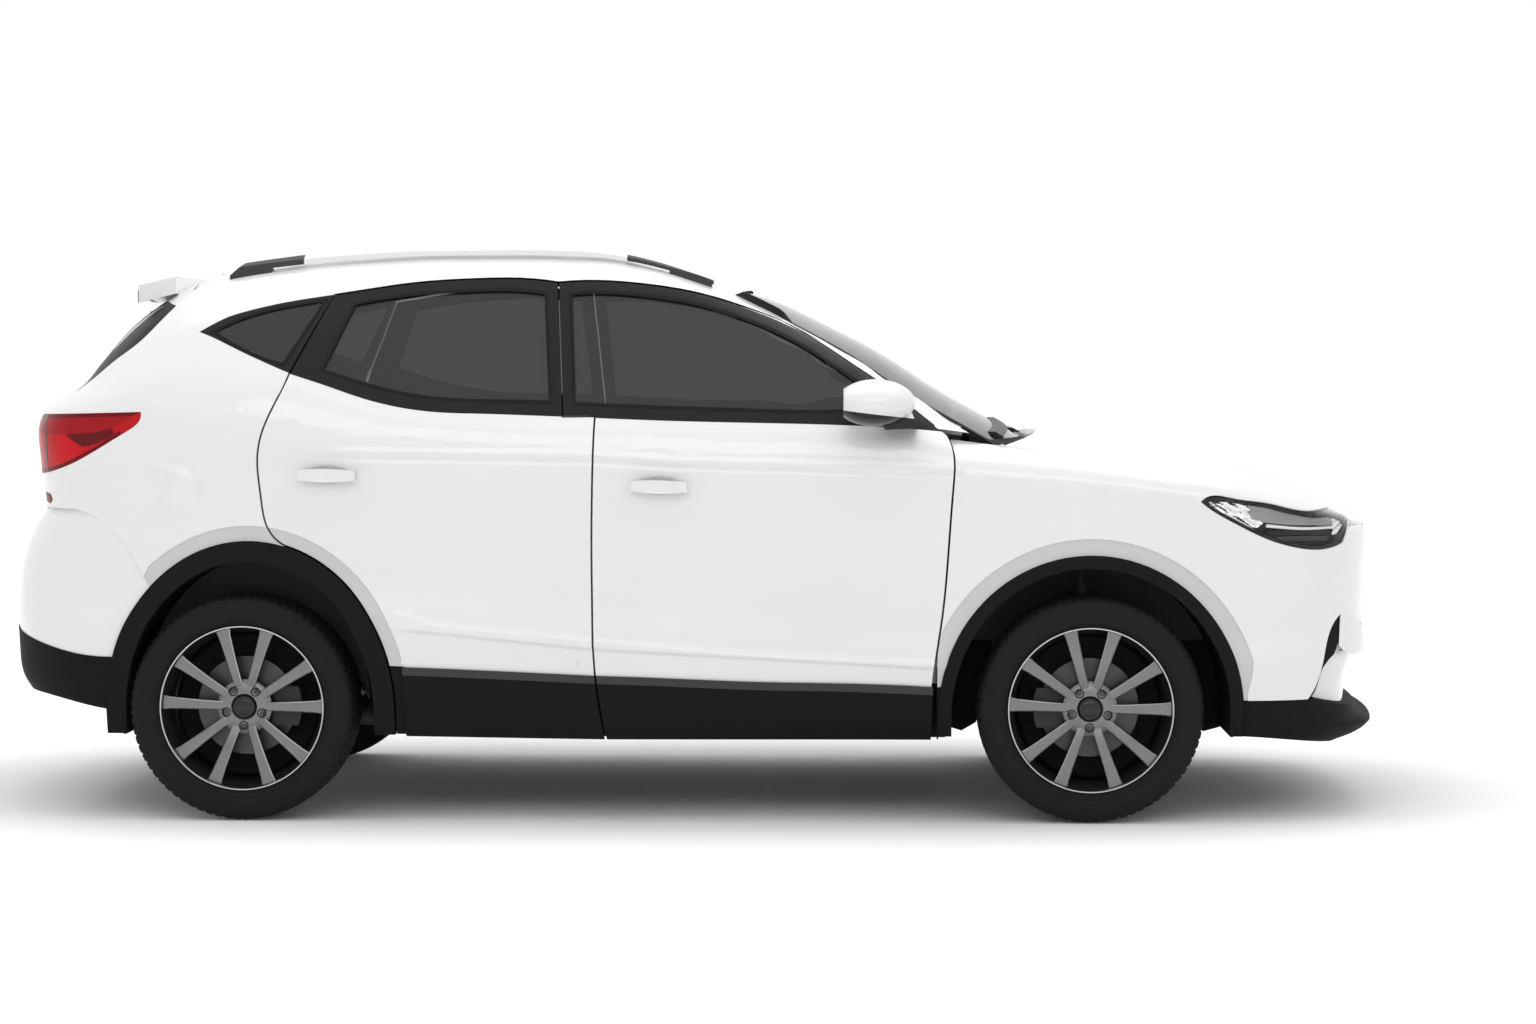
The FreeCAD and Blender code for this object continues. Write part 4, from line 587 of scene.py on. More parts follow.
def dark_corners():
    region = outline_of(wedge_edge, [(-2080, 1250), (-1800, 1640)])
    for name, node, keep in (
            ("corner_panel", "body_sides", lambda c, n: (n.y < -0.05 or n.x < -0.2) and c.y < 0),
            ("tailgate_corner_panel", "tailgate", lambda c, n: n.x < -0.05 and c.y < -0.56)):
        overlay(name, node, region, cover_lift, keep, "frame_black")
    for name, low, high in (("rail_rear_foot", -1440, -1190), ("rail_front_foot", -190, 90)):
        block = metres([(low, 1400), (high, 1400), (high, 1900), (low, 1900)])
        overlay(name, "roof_rails", block, cover_lift, lambda c, n: c.y < 0, "graphite")
    door_gap = [(-310, 444), (-225, 444), (-200, 225), (-310, 225)]
    for name, node, lift, corners in (
            ("fender_leg", "fenders", leg_lift, [(700, 416), (800, 413), (800, 253), (700, 253)]),
            ("rear_door_leg", "rear_door_right", leg_lift,
             [(-900, 474), (-835, 471), (-830, 225), (-900, 225)]),
            ("quarter_leg", "body_sides", leg_lift, [(-910, 474), (-846, 471), (-838, 225), (-910, 225)]),
            ("front_door_gap_cover", "front_door_right", cover_lift, door_gap),
            ("rear_door_gap_cover", "rear_door_right", cover_lift, door_gap),
            ("sill_end_cover", "body_sides", cover_lift, [(690, 414), (800, 410), (800, 225), (690, 225)]),
            ("sill_middle_cover", "body_sides", cover_lift,
             [(-330, 446), (-180, 446), (-180, 225), (-330, 225)]),
            ("front_door_nose_cover", "front_door_right", cover_lift,
             [(725, 414), (815, 410), (815, 225), (725, 225)])):
        overlay(name, node, metres(corners), lift, outer_faces, "cladding")
    # Strips along the claddings' top edges in a lighter grey: a painted highlight where the bevel faces the
    # light
    for end, top in (("front", [(-266, 445), (-100, 440), (218, 428), (480, 424), (747, 414)]),
                     ("rear", [(-860, 470), (-600, 460), (-262, 445)])):
        strip = outline_of([(x, z + 2) for x, z in top], [(x, z - 24) for x, z in top[::-1]])
        overlay(f"{end}_cladding_bevel", f"{end}_door_cladding_right", strip, cover_lift, facing_right,
                "cladding_light")


# White outer sheets of the body side: creases and the quarter's hollow stand in their thickness; grey bands
# outside the arches are painted shade
arch_base = 0.330
arch_steps = 48
arches = {"front": (1.222, 0.459, 0.480, 0.050), "rear": (-1.318, 0.440, 0.520, 0.046)}
door_nose, door_tail = 0.83, -0.9
rocker_crease = [(-841, 636), (-757, 606), (-274, 558), (218, 516), (689, 495)]
lower_crease = [(-811, 579), (-274, 526), (733, 472)]
upper_crease = [(-1250, 1104), (-703, 1095), (-271, 1089), (-30, 1073), (697, 1052), (800, 1050)]
fender_crease = [(800, 1112), (1181, 1102), (1420, 1088), (1661, 1065)]
hollow_top = [(-1980, 1066), (-1700, 1072), (-1560, 1068)]
bulge_edge = [(-1800, 1082), (-1650, 1090), (-1545, 1088), (-1490, 1064), (-1462, 1015), (-1460, 950)]
handle_cups = ((-1.072, 1.052), (-0.074, 1.020))
sheet_stand, lamp_stand, belt_stand, least_stand = 0.0045, 0.0018, 0.0012, 0.0004


def soft_step(value, low, high):
    t = min(max((value - low) / (high - low), 0.0), 1.0)
    return t * t * (3 - 2 * t)


def soft_drop(value, low, high):
    return 1 - soft_step(value, low, high)


def ridge(value, middle, width):
    """One at the middle, falling away smoothly on both sides."""
    return math.exp(-((value - middle) / width) ** 2)


def level(points, x):
    """Straight interpolation along a line of points in millimetres, in metres."""
    points = metres(points)
    if x <= points[0][0]:
        return points[0][1]
    for (x0, z0), (x1, z1) in zip(points, points[1:]):
        if x <= x1:
            return z0 + (z1 - z0) * (x - x0) / (x1 - x0)
    return points[-1][1]


def line_distance(x, z, points):
    """The distance in metres from a point to a run of points in millimetres."""
    best = math.inf
    points = metres(points)
    for (x0, z0), (x1, z1) in zip(points, points[1:]):
        along = ((x - x0) * (x1 - x0) + (z - z0) * (z1 - z0)) / ((x1 - x0) ** 2 + (z1 - z0) ** 2)
        t = min(max(along, 0.0), 1.0)
        best = min(best, math.hypot(x - x0 - t * (x1 - x0), z - z0 - t * (z1 - z0)))
    return best


def sheet_height(x, z):
    """How far the white sheets stand off the CAD skin, in metres."""
    height = sheet_stand
    # Doors' foot: a shoulder under the rocker crease, a sunk strip at the foot, a shallow hollow above
    if door_tail < x < door_nose:
        fade = soft_step(x, door_tail, -0.80)
        above = z - level(rocker_crease, x)
        height += 0.0042 * fade * soft_drop(above, -0.012, 0.004)
        height -= 0.0066 * fade * soft_drop(z - level(lower_crease, x), -0.006, 0.006)
        height -= 0.0030 * fade * soft_step(0.22 - above, 0.0, 0.22) * soft_step(above, -0.002, 0.006)
    # The crease at the handles' height, and its lighter run along the wing
    if x < door_nose:
        above = z - level(upper_crease, x)
        fade = soft_step(x, -1.2, -0.9)
        height -= fade * 0.0034 * ridge(above, 0.0, 0.008)
        height += fade * 0.0026 * ridge(above, 0.020, 0.010)
    elif z > 0.98:
        height -= 0.0030 * ridge(z - level(fender_crease, x), 0.0, 0.010) * soft_drop(x, 1.55, 1.70)
    for cup_x, cup_z in handle_cups:
        height -= 0.0038 * soft_drop(math.hypot((x - cup_x) / 0.062, (z - cup_z) / 0.030), 0.55, 1.0)
    # The quarter's hollow ahead of the rear bumper, with a raised bulge before it
    if x < -1.40 and 0.86 < z < 1.12:
        front = -1.552 + (z - 1.05) * 0.25
        inside = soft_step(level(hollow_top, x) - z, -0.004, 0.012) * soft_step(front - x, -0.003, 0.012)
        height -= 0.0040 * (inside * soft_step(z, 0.925, 0.965))
        height -= 0.0034 * ridge(line_distance(x, z, bulge_edge), 0.0, 0.012) * soft_step(z, 0.90, 0.98)
        height += (0.0068 * soft_step(x - front, -0.004, 0.022) * soft_drop(x, -1.505, -1.445)
                   * soft_step(z, 0.89, 0.98) * soft_drop(z, 1.035, 1.085))
    # Thin beside the tail lamp and along the windows' lower edge
    if x < -1.60:
        near_lamp = soft_step(z, 1.06, 1.09) * soft_drop(z, 1.24, 1.29) * soft_step(-x, 1.60, 1.64)
        height += (lamp_stand - height) * near_lamp
    if -1.25 < x < door_nose:
        belt = level(belt_rear, x) if x < -0.34 else level(belt_front, x)
        height += (belt_stand - height) * soft_step(z - belt, -0.045, -0.004)
    return max(height, least_stand)


def arch_band(end, first, last):
    """The side outline of a soft band outside an arch, between two angles in degrees; its ends run out."""
    centre, half, height, width = arches[end]
    outer, inner = [], []
    for k in range(arch_steps + 1):
        a = math.radians(first + (last - first) * k / arch_steps)
        taper = min(1.0, math.sin(math.pi * min(max(k / arch_steps, 0.02), 0.98)) * 4.0)
        for edge, grow in ((inner, 0.0005), (outer, width * taper)):
            edge.append((centre + (half + grow) * math.cos(a), arch_base + (height + grow) * math.sin(a)))
    return inner + outer[::-1]


def body_sheets():
    front_band, rear_band = arch_band("front", 4, 172), arch_band("rear", 6, 140)
    door_front = outline_of(
        [(x, z - 1) for x, z in belt_front], [(830, 1170)],
        [(830, 407), (747, 406), (480, 415), (218, 419), (-100, 431), (-266, 436), (-420, 441)])
    door_rear = outline_of(
        [(-1400, 1362)], [(x, z - 1) for x, z in belt_rear], [(-240, 1224)],
        [(-240, 436), (-262, 436), (-600, 451), (-844, 461)], [(-846, 478), (-1400, 478)])
    rear_quarter = metres([(-2100, 1290), (-1195, 1290), (-860, 900), (-850, 478), (-2100, 478)])
    wing = metres([(700, 1116), (2100, 1116), (2100, 365), (1400, 365), (1400, 419), (700, 419)])
    for name, node, outline, without, cell in (
            ("front_door_sheet", "front_door_right", door_front, None, (0.02, 0.005)),
            ("rear_door_sheet", "rear_door_right", door_rear, rear_band, (0.018, 0.005)),
            ("quarter_sheet", "body_sides", rear_quarter, rear_band, (0.007, 0.007)),
            ("fender_sheet", "fenders", wing, front_band, (0.016, 0.010))):
        overlay(name, node, outline, sheet_height, facing_right, "white_paint", without, cell)
    # Bands outside the arches in a grey paint: painted shade for a bevel that these thin layers don't hold
    for name, node, band in (
            ("fender_arch_band", "fenders", front_band), ("quarter_arch_band", "body_sides", rear_band),
            ("door_arch_band", "rear_door_right", rear_band)):
        overlay(name, node, band, band_lift, facing_right, "shaded_paint")


# Tyres with tread blocks, over the plain CAD rings; sections are pairs of radius and offset from the middle
wall, groove_floor, rib, shoulder = range(4)
side_wall = [
    (0.2515, 0.0950), (0.2580, 0.1010), (0.2630, 0.1075), (0.2665, 0.1090), (0.2700, 0.1075), (0.2720, 0.1082),
    (0.2850, 0.1100), (0.2990, 0.1110), (0.3003, 0.1102), (0.3120, 0.1100), (0.3220, 0.1072), (0.3300, 0.1022)]
tyre_shoulder = [(0.3362, 0.0950), (0.3392, 0.0870)]
tread_edge = 0.078
tread_grooves = (-0.054, -0.018, 0.018, 0.054)
groove_depth, groove_top, groove_foot = 0.007, 0.0048, 0.0036
tread_pitches, pitch_steps, tread_lean = 72, 5, 3.5
tread_cuts = {(shoulder, 0): 0.0045, (rib, 2): 0.0025}


def about_axle(centre, outward, radius, offset, angle):
    """A point at a radius and an angle about a wheel's axle, at an offset to the car's outside."""
    return centre + Vector((radius * math.cos(angle), outward * offset, radius * math.sin(angle)))


def wheel_frame(place):
    """A wheel's middle, and the way out of the car along Y."""
    low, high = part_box("tyre_" + place)
    return (low + high) / 2, -1 if place.endswith("right") else 1


def tread_radius(offset):
    return 0.342 - 0.0026 * (offset / 0.084) ** 2


def tyre_profile():
    """(radius, offset, kind) from bead to bead."""
    half = [(r, o, wall) for r, o in side_wall] + [(r, o, shoulder) for r, o in tyre_shoulder]
    profile = [(r, -o, kind) for r, o, kind in half]
    previous = -tread_edge
    for groove in tread_grooves:
        before = shoulder if groove == tread_grooves[0] else rib
        after = shoulder if groove == tread_grooves[-1] else rib
        crown = tread_radius(groove)
        profile += [
            (tread_radius(previous), previous, before), (crown, groove - groove_top, before),
            (crown - groove_depth, groove - groove_foot, groove_floor),
            (crown - groove_depth, groove + groove_foot, groove_floor), (crown, groove + groove_top, after)]
        previous = groove + 0.018
    return profile + [(tread_radius(tread_edge), tread_edge, shoulder)] + half[::-1]


def make_tyres():
    profile = tyre_profile()
    count = tread_pitches * pitch_steps
    for place in places:
        centre, _ = wheel_frame(place)
        rows = []
        for i in range(count):
            rows.append([
                about_axle(centre, 1, radius - tread_cuts.get((kind, i % pitch_steps), 0.0), offset,
                           2 * math.pi * (i + tread_lean * offset) / count)
                for radius, offset, kind in profile])
        mesh = grid_mesh("tread_" + place, rows, closed_rows=True, degrees=28.0)
        thing = add_piece("road_tyre_" + place, mesh, "rubber", "wheel_" + place)
        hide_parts("tyre_" + place)


# Wheels: lip, barrel, ten spokes in five pairs, hub with wheel bolts and a bare centre cap
face_slot, dark_slot, edge_slot = range(3)
rim_materials = ("machined", "rim_dark", "rim_lip")
spoke_first, spoke_lean = math.radians(88.5), math.radians(16.0)
spoke_stations = [
    (0.052, 0.0300, 0.050), (0.085, 0.0285, 0.062), (0.130, 0.0310, 0.069), (0.180, 0.0350, 0.073),
    (0.222, 0.0400, 0.076), (0.243, 0.0470, 0.077)]
spoke_back = 0.028
spoke_slots = (dark_slot, dark_slot, edge_slot, face_slot, face_slot, edge_slot) + (dark_slot,) * 3
lip_section = [
    (0.2500, 0.0880), (0.2507, 0.0985), (0.2490, 0.1000), (0.2455, 0.0995), (0.2435, 0.0960), (0.2440, 0.0860)]
barrel_section = [
    (0.2505, 0.0860), (0.2440, 0.0855), (0.2410, 0.0700), (0.2330, 0.0550), (0.2260, 0.0300), (0.2240, -0.0500),
    (0.2135, -0.0580), (0.2135, -0.0630), (0.2240, -0.0700), (0.2400, -0.0920), (0.2505, -0.1000),
    (0.2507, -0.0900), (0.2440, -0.0800), (0.2310, -0.0550), (0.2330, 0.0350), (0.2440, 0.0650)]
hub_section = [
    (0.034, 0.052), (0.040, 0.058), (0.046, 0.0585), (0.072, 0.053), (0.083, 0.046), (0.084, 0.023),
    (0.034, 0.023)]
well_section = [(0.0105, 0.0585), (0.0125, 0.0600), (0.0145, 0.0585), (0.0145, 0.050), (0.0105, 0.046)]
cap_section = [
    (0.0002, 0.0625), (0.012, 0.0623), (0.024, 0.0610), (0.0255, 0.0598), (0.0275, 0.0600), (0.0315, 0.0590),
    (0.0336, 0.0560), (0.0336, 0.036)]
bolt_circle = 0.057
bolt_parts = ((0.0098, 0.040, 0.0575), (0.0070, 0.0575, 0.0605))
bolt_taper = 0.93


def ring_of(form, centre, outward, section, segments, slot, closed=True):
    """A turned ring about an axle."""
    loops = []
    for i in range(segments):
        angle = 2 * math.pi * i / segments
        loops.append([form.verts.new(about_axle(centre, outward, r, o, angle)) for r, o in section])
    for a, b in zip(loops, loops[1:] + loops[:1]):
        for face in bridge(form, a, b, closed):
            face.material_index = slot


def add_spoke(form, centre, outward, angle):
    """One spoke: a crowned machined face between dark flanks, widening to the rim."""
    reach = Vector((math.cos(angle), 0, math.sin(angle)))
    across = Vector((-math.sin(angle), 0, math.cos(angle)))
    out = Vector((0, outward, 0))
    rings = []
    for r, width, face in spoke_stations:
        half = width / 2
        flank = [(half * 0.72, spoke_back), (half, face - 0.010), (half - 0.0012, face - 0.0025),
                 (half - 0.004, face)]
        section = [(-a, o) for a, o in flank] + [(0.0, face + 0.0008)] + flank[::-1]
        rings.append([form.verts.new(centre + reach * r + across * a + out * o) for a, o in section])
    for a, b in zip(rings, rings[1:]):
        for face, slot in zip(bridge(form, a, b), spoke_slots):
            face.material_index = slot
    for end in (rings[0], rings[-1][::-1]):
        form.faces.new(end).material_index = dark_slot


def make_rims():
    for place in places:
        centre, outward = wheel_frame(place)
        form = bmesh.new()
        ring_of(form, centre, outward, lip_section, 160, edge_slot)
        ring_of(form, centre, outward, barrel_section, 160, dark_slot)
        ring_of(form, centre, outward, hub_section, 96, face_slot)
        for i in range(5):
            for lean in (-spoke_lean, spoke_lean):
                add_spoke(form, centre, outward, spoke_first + math.radians(72 * i) + lean)
        mesh = to_mesh("wheel_" + place, form, 30.0)
        thing = add_piece("wheel_spokes_" + place, mesh, rim_materials, "wheel_" + place)
        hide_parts("rim_" + place)
        make_wheel_fittings(place, centre, outward)


def make_wheel_fittings(place, centre, outward):
    """Five wheel bolts in dark wells, and the centre cap."""
    sixths = [math.radians(60 * k) for k in range(6)]
    form = bmesh.new()
    for i in range(5):
        spot = about_axle(centre, outward, bolt_circle, 0, spoke_first + math.radians(72 * i + 36))
        ring_of(form, spot, outward, well_section, 24, 1)
        for radius, base, top in bolt_parts:
            lower, upper = [
                [form.verts.new(about_axle(spot, outward, r, offset, turn)) for turn in sixths]
                for r, offset in ((radius, base), (radius * bolt_taper, top))]
            bridge(form, lower, upper)
            form.faces.new(upper)
    mesh = to_mesh("bolts_" + place, form, 30.0)
    add_piece("wheel_bolts_" + place, mesh, ("iron", "rim_dark"), "wheel_" + place)
    form = bmesh.new()
    ring_of(form, centre, outward, cap_section, 64, 0, closed=False)
    mesh = to_mesh("cap_" + place, form, 40.0)
    add_piece("centre_cap_" + place, mesh, "gloss_black", "wheel_" + place)


# Plates behind the brake discs, with a rolled edge and nine pressed ribs
plate_segments = 144


def make_brake_plates():
    for place in places:
        centre, outward = wheel_frame(place)
        rows = []
        for i in range(plate_segments):
            angle = 2 * math.pi * i / plate_segments
            press = 0.0025 * max(math.cos(9 * angle), 0.0) ** 2
            section = [
                (0.060, -0.0310), (0.085, -0.0310), (0.095, -0.0340 + press), (0.180, -0.0350 + press),
                (0.200, -0.0350), (0.211, -0.0335), (0.2155, -0.0290), (0.2170, -0.0260), (0.2185, -0.0265),
                (0.2175, -0.0300), (0.2130, -0.0360), (0.200, -0.0375), (0.095, -0.0365), (0.060, -0.0335)]
            rows.append([about_axle(centre, outward, r, o, angle) for r, o in section])
        mesh = grid_mesh("plate", rows, closed_rows=True, closed_columns=True, degrees=30.0)
        carrier = "knuckle_body_" + place.split("_")[1] if place.startswith("front") else "body"
        add_piece("brake_plate_" + place, mesh, "cladding", carrier)


# Rubbery flaps that close the foot of each wheel arch on its inner side
flap_steps = ((1.0, 0.0), (0.97, -0.003), (0.86, -0.003), (0.80, -0.0005), (0.30, -0.0005))
flap_thickness = 0.0025


def make_arch_flaps():
    for name, y, corners in (
            ("front_arch_flap_rear", -0.468,
             ((0.80, 0.52), (0.94, 0.52), (0.925, 0.36), (0.89, 0.262), (0.845, 0.236), (0.80, 0.25))),
            ("front_arch_flap_front", -0.468,
             ((1.50, 0.52), (1.65, 0.52), (1.65, 0.25), (1.60, 0.236), (1.55, 0.262), (1.515, 0.36))),
            ("rear_arch_flap_front", -0.650,
             ((-1.00, 0.52), (-0.885, 0.52), (-0.885, 0.255), (-0.93, 0.24), (-0.965, 0.262), (-0.985, 0.33)))):
        form = bmesh.new()
        middle_x = sum(x for x, z in corners) / len(corners)
        middle_z = sum(z for x, z in corners) / len(corners)
        rings = []
        for shrink, depth in flap_steps:
            rings.append([form.verts.new((
                middle_x + (x - middle_x) * shrink, y + depth, middle_z + (z - middle_z) * shrink))
                for x, z in corners])
        for a, b in zip(rings, rings[1:]):
            bridge(form, a, b)
        form.faces.new(rings[-1])
        bmesh.ops.recalc_face_normals(form, faces=form.faces)
        bmesh.ops.solidify(form, geom=form.faces[:], thickness=flap_thickness)
        pair(name, to_mesh(name, form, 30.0), "cladding", "body")


# Printed black borders on the inner faces of the windscreen and the rear glass, and rubber seals outside
def glass_borders():
    for name, node, way, width, key, body in (
            ("windscreen_border", "windscreen", (-0.55, 0, -0.83), 0.045, "gloss_black", "body"),
            ("windscreen_seal", "windscreen", (0.55, 0, 0.83), 0.032, "rubber", "body"),
            ("rear_glass_border", "tailgate_glass", (0.9, 0, -0.43), 0.035, "gloss_black", "tailgate_body"),
            ("rear_glass_seal", "tailgate_glass", (-0.9, 0, 0.43), 0.014, "rubber", "tailgate_body")):
        form = welded(nodes[node].data)
        keep_faces(form, lambda c, n: n.dot(Vector(way)) >= 0.4)
        made = bmesh.ops.inset_region(
            form, faces=form.faces[:], thickness=width, use_even_offset=True, use_boundary=True)
        rim = set(made["faces"])
        bmesh.ops.delete(form, geom=[f for f in form.faces if f not in rim], context="FACES")
        border = lifted(name, store(name, form), 0.0012, lambda c, n: True)
        add_piece(name, border, key, body)


# Headlamps: a clear lens over a black bucket, a chrome leaf, a silver blade, a light strip, dark projectors
def make_headlamps():
    whole = outline_of(
        [(1545, 971), (1560, 983), (1650, 979), (1740, 967), (1874, 941), (1956, 943), (2012, 921)],
        [(2012, 921), (1999, 880), (1983, 843)],
        [(1983, 843), (1920, 826), (1829, 834), (1738, 862), (1647, 907), (1575, 948), (1545, 971)])
    blade = outline_of([(1690, 966), (1874, 936), (1956, 938), (2003, 920)],
                       [(1996, 903), (1860, 898), (1740, 908), (1690, 925), (1690, 966)])
    leaf = outline_of(
        [(1562, 968), (1600, 972), (1650, 970), (1690, 963)], [(1690, 963), (1700, 935), (1735, 905)],
        [(1735, 905), (1700, 886), (1640, 918), (1562, 968)])
    strip = outline_of([(1745, 903), (1850, 893), (1960, 896)], [(1957, 888), (1850, 885), (1742, 894)])
    corner = outline_of([(1955, 932), (2001, 914)], [(1990, 878)], [(1958, 866), (1962, 900), (1955, 932)])
    tip = metres([(1962, 868), (1990, 872), (1980, 850), (1958, 842)])

    def leaf_ripple(x, z):
        return 0.005 * math.sin((x - 1.566) * 55) ** 2 + 0.004 * math.sin((x + 1.6 * z) * 90) ** 2

    def corner_ripple(x, z):
        return 0.003 * math.sin((x - z) * 120) ** 2

    def part(name, border, key, depth, thickness, without=None, ripple=None):
        mesh = skin_shell(name, cut_copy("headlamps", border, without), depth, thickness, ripple)
        return pair(name, mesh, key, "body")

    lens = part("headlamp_lens", inset_outline(whole, -0.002), "lens", 0.0002, 0.0025)
    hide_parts("headlamps")
    part("headlamp_bucket", inset_outline(whole, 0.001), "lamp_black", 0.034, 0.004)
    rim_line = inset_outline(whole, 0.010)
    part("headlamp_rim", inset_outline(whole, -0.001), "lamp_black", 0.0032, 0.020, rim_line)
    part("headlamp_upper_blade", blade, "lamp_silver", 0.014, 0.010)
    part("headlamp_chrome_leaf", leaf, "chrome", 0.010, 0.010, ripple=leaf_ripple)
    part("headlamp_light_strip", strip, "lamp_white", 0.006, 0.012)
    for i, (low, high, back, front, key) in enumerate((
            (868, 883, 1742, 1950, "lamp_black"), (848, 865, 1775, 1952, "graphite"),
            (838, 845, 1800, 1945, "lamp_black"))):
        bar = metres([(back, high), (front, high - 2), (front - 8, low), (back + 14, low + 2)])
        part(f"headlamp_projector_{i}", bar, key, 0.009 + 0.004 * i, 0.010)
    part("headlamp_corner_chrome", corner, "chrome", 0.010, 0.008, ripple=corner_ripple)
    part("headlamp_corner_piece", tip, "lamp_black", 0.004, 0.010)


# Tail lamps: red fields, a dark hollow and a black joint line over the lamp, and the bumper's reflectors
def make_tail_lamps():
    def outward(centre, normal):
        return (normal.y < -0.05 or normal.x < -0.3) and centre.y < 0

    upper = outline_of([(-1665, 1226), (-2100, 1214)],
                       [(-2100, 1170), (-1880, 1172), (-1790, 1176), (-1720, 1196), (-1665, 1226)])
    hollow = outline_of([(-1880, 1171), (-1790, 1175), (-1730, 1190)],
                        [(-1730, 1190), (-1722, 1172), (-1760, 1150), (-1810, 1134), (-1835, 1140),
                         (-1880, 1171)])
    glow = outline_of([(-1905, 1166)], [(-1880, 1166), (-1836, 1136), (-1812, 1130), (-1795, 1132)],
                      [(-1795, 1132), (-1860, 1093), (-1935, 1070)])
    foot = outline_of(
        [(-1705, 1181), (-1770, 1139), (-1866, 1090), (-1950, 1067), (-2100, 1058)],
        [(-2100, 1044), (-1950, 1055), (-1870, 1078), (-1770, 1129), (-1696, 1174), (-1705, 1181)])
    brow = metres([(-1642, 1237), (-2100, 1224), (-2100, 1214), (-1668, 1226)])
    joint = outline_of([(-1962, 1240)], [(-1955, 1240), (-1952, 1140), (-1948, 1040)],
                       [(-1956, 1040), (-1960, 1140), (-1962, 1240)])
    reflector = outline_of([(-1968, 990)], [(-1946, 984), (-1940, 968), (-1950, 958)], [(-1966, 966)])
    for name, node, outline, key, lift in (
            ("tail_lamp_upper", "tail_lamps", upper, "red_mid", 0.0004),
            ("tail_lamp_hollow", "tail_lamps", hollow, "red_dark", 0.0005),
            ("tail_lamp_glow", "tail_lamps", glow, "red_bright", 0.0006),
            ("tail_lamp_foot", "tail_lamps", foot, "red_dark", 0.0005),
            ("tail_lamp_brow", "tail_lamps", brow, "red_dark", 0.0006),
            ("tail_lamp_joint", "tail_lamps", joint, "gloss_black", 0.0008),
            ("rear_reflector", "body_sides", reflector, "red_dark", 0.0036)):
        overlay(name, node, outline, lift, outward, key)


# Finishes of the CAD nodes that stay
def on_sides(*stems):
    return [f"{stem}_{side}" for stem in stems for side in sides]


def dress_all():
    for key, names in (
            ("white_paint", on_sides("front_door", "rear_door") + [
                "body_sides", "roof_panel", "tailgate", "rear_bumper", "bonnet", "fenders", "front_bumper",
                "roof_rails"]),
            ("dark_glass", on_sides("front_door_glass", "rear_door_glass") + [
                "quarter_glass", "tailgate_glass"]),
            ("screen_glass", ["windscreen"]),
            ("cladding", on_sides("front_door_cladding", "rear_door_cladding") + [
                "front_arch_trims", "rear_arch_trims", "front_lower_trim", "rear_lower_trim", "cowl"]),
            ("satin_black", ["grille", "wipers"]), ("red_core", ["tail_lamps"]),
            ("iron", ["brake_disc_" + place for place in places]),
            ("cast_iron", on_sides("knuckle") + ["rear_axle", "front_subframe"]),
            ("engine", ["engine_block", "radiator"]), ("pipe", ["exhaust"]),
            ("undercoat", ["floor_pan", "front_structure"]), ("tank", ["fuel_tank"]),
            ("cabin_black", ["dashboard", "steering_wheel"])):
        for name in names:
            nodes[name].data.materials.clear()
            nodes[name].data.materials.append(finish[key])


# Mirrors: a white cap over a black base, with the glass behind
mirror_joint, mirror_joint_way = Vector((0.580, 0, 1.234)), Vector((0.12, 0, 1.0))


def make_mirrors():
    turns = [2 * math.pi * i / 40 for i in range(40)]
    for side in sides:
        way = -1 if side == "right" else 1
        for part, key, slot in (("cap", "white_paint", "mirror_paint"), ("base", "gloss_black", "gloss_black")):
            cap = part == "cap"
            form = welded(nodes["mirror_" + side].data)
            slice_form(form, mirror_joint, mirror_joint_way, clear_inner=cap, clear_outer=not cap)
            bmesh.ops.holes_fill(form, edges=form.edges[:], sides=0)
            name = f"mirror_{part}_{side}"
            thing = add_piece(name, to_mesh(name, form, 40.0), key, "front_door_body_" + side)
            if cap:
                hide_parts("mirror_" + side)
        rows = [
            [(0.4765, way * (0.985 + 0.062 * r * math.cos(a)), 1.272 + 0.044 * r * math.sin(a)) for a in turns]
            for r in [k / 8 for k in range(9)]]
        name = "mirror_glass_" + side
        mesh = grid_mesh(name, rows, closed_columns=True)
        add_piece(name, mesh, "mirror_glass", "front_door_body_" + side)


# Cushions: closed crowned forms with bolsters and sewn seams
pad_rows = 44
corner_power = 2 / 5


def pad_mesh(name, start, end, lift, y, width, thick, bolster, seams, cross_seams, around=88):
    """A pad swept from start to end in the side view; lift is the unit vector out of its seating face."""
    way = Vector((end[0] - start[0], 0, end[1] - start[1]))
    up = Vector((lift[0], 0, lift[1]))
    form = bmesh.new()
    rings = []
    for i in range(pad_rows + 1):
        u = 0.5 - 0.5 * math.cos(math.pi * (i / pad_rows))
        shrink = max(1.0 - abs(2 * u - 1) ** 7, 0.0) ** (1 / 3.5)
        middle = Vector((start[0], y, start[1])) + way * u
        ring = []
        for j in range(around):
            angle = 2 * math.pi * j / around
            c, s = math.cos(angle), math.sin(angle)
            a = math.copysign(abs(c) ** corner_power, c)
            b = math.copysign(abs(s) ** corner_power, s)
            rise = b * thick / 2 * (0.30 + 0.70 * shrink)
            if s > 0:
                roll = 1.0 if abs(a) < 0.92 else (1 - abs(a)) / 0.08 * 0.6 + 0.4
                rise += bolster * soft_step(abs(a), 0.55, 0.80) * shrink * roll
                rise += 0.010 * (1 - a * a) * shrink
                rise -= sum(0.007 * ridge(abs(a), seam, 0.022) * shrink for seam in seams)
                if abs(a) < 0.62:
                    rise -= sum(0.006 * ridge(u, seam, 0.012) for seam in cross_seams)
            side_step = a * width / 2 * (0.93 + 0.07 * shrink)
            ring.append(form.verts.new(middle + Vector((0, side_step, 0)) + up * rise))
        rings.append(ring)
    for a, b in zip(rings, rings[1:]):
        bridge(form, a, b)
    form.faces.new(rings[0][::-1])
    form.faces.new(rings[-1])
    return to_mesh(name, form, 60.0)


def add_pad(name, *shape, **more):
    return add_piece(name, pad_mesh(name, *shape, **more), "cloth", "body")


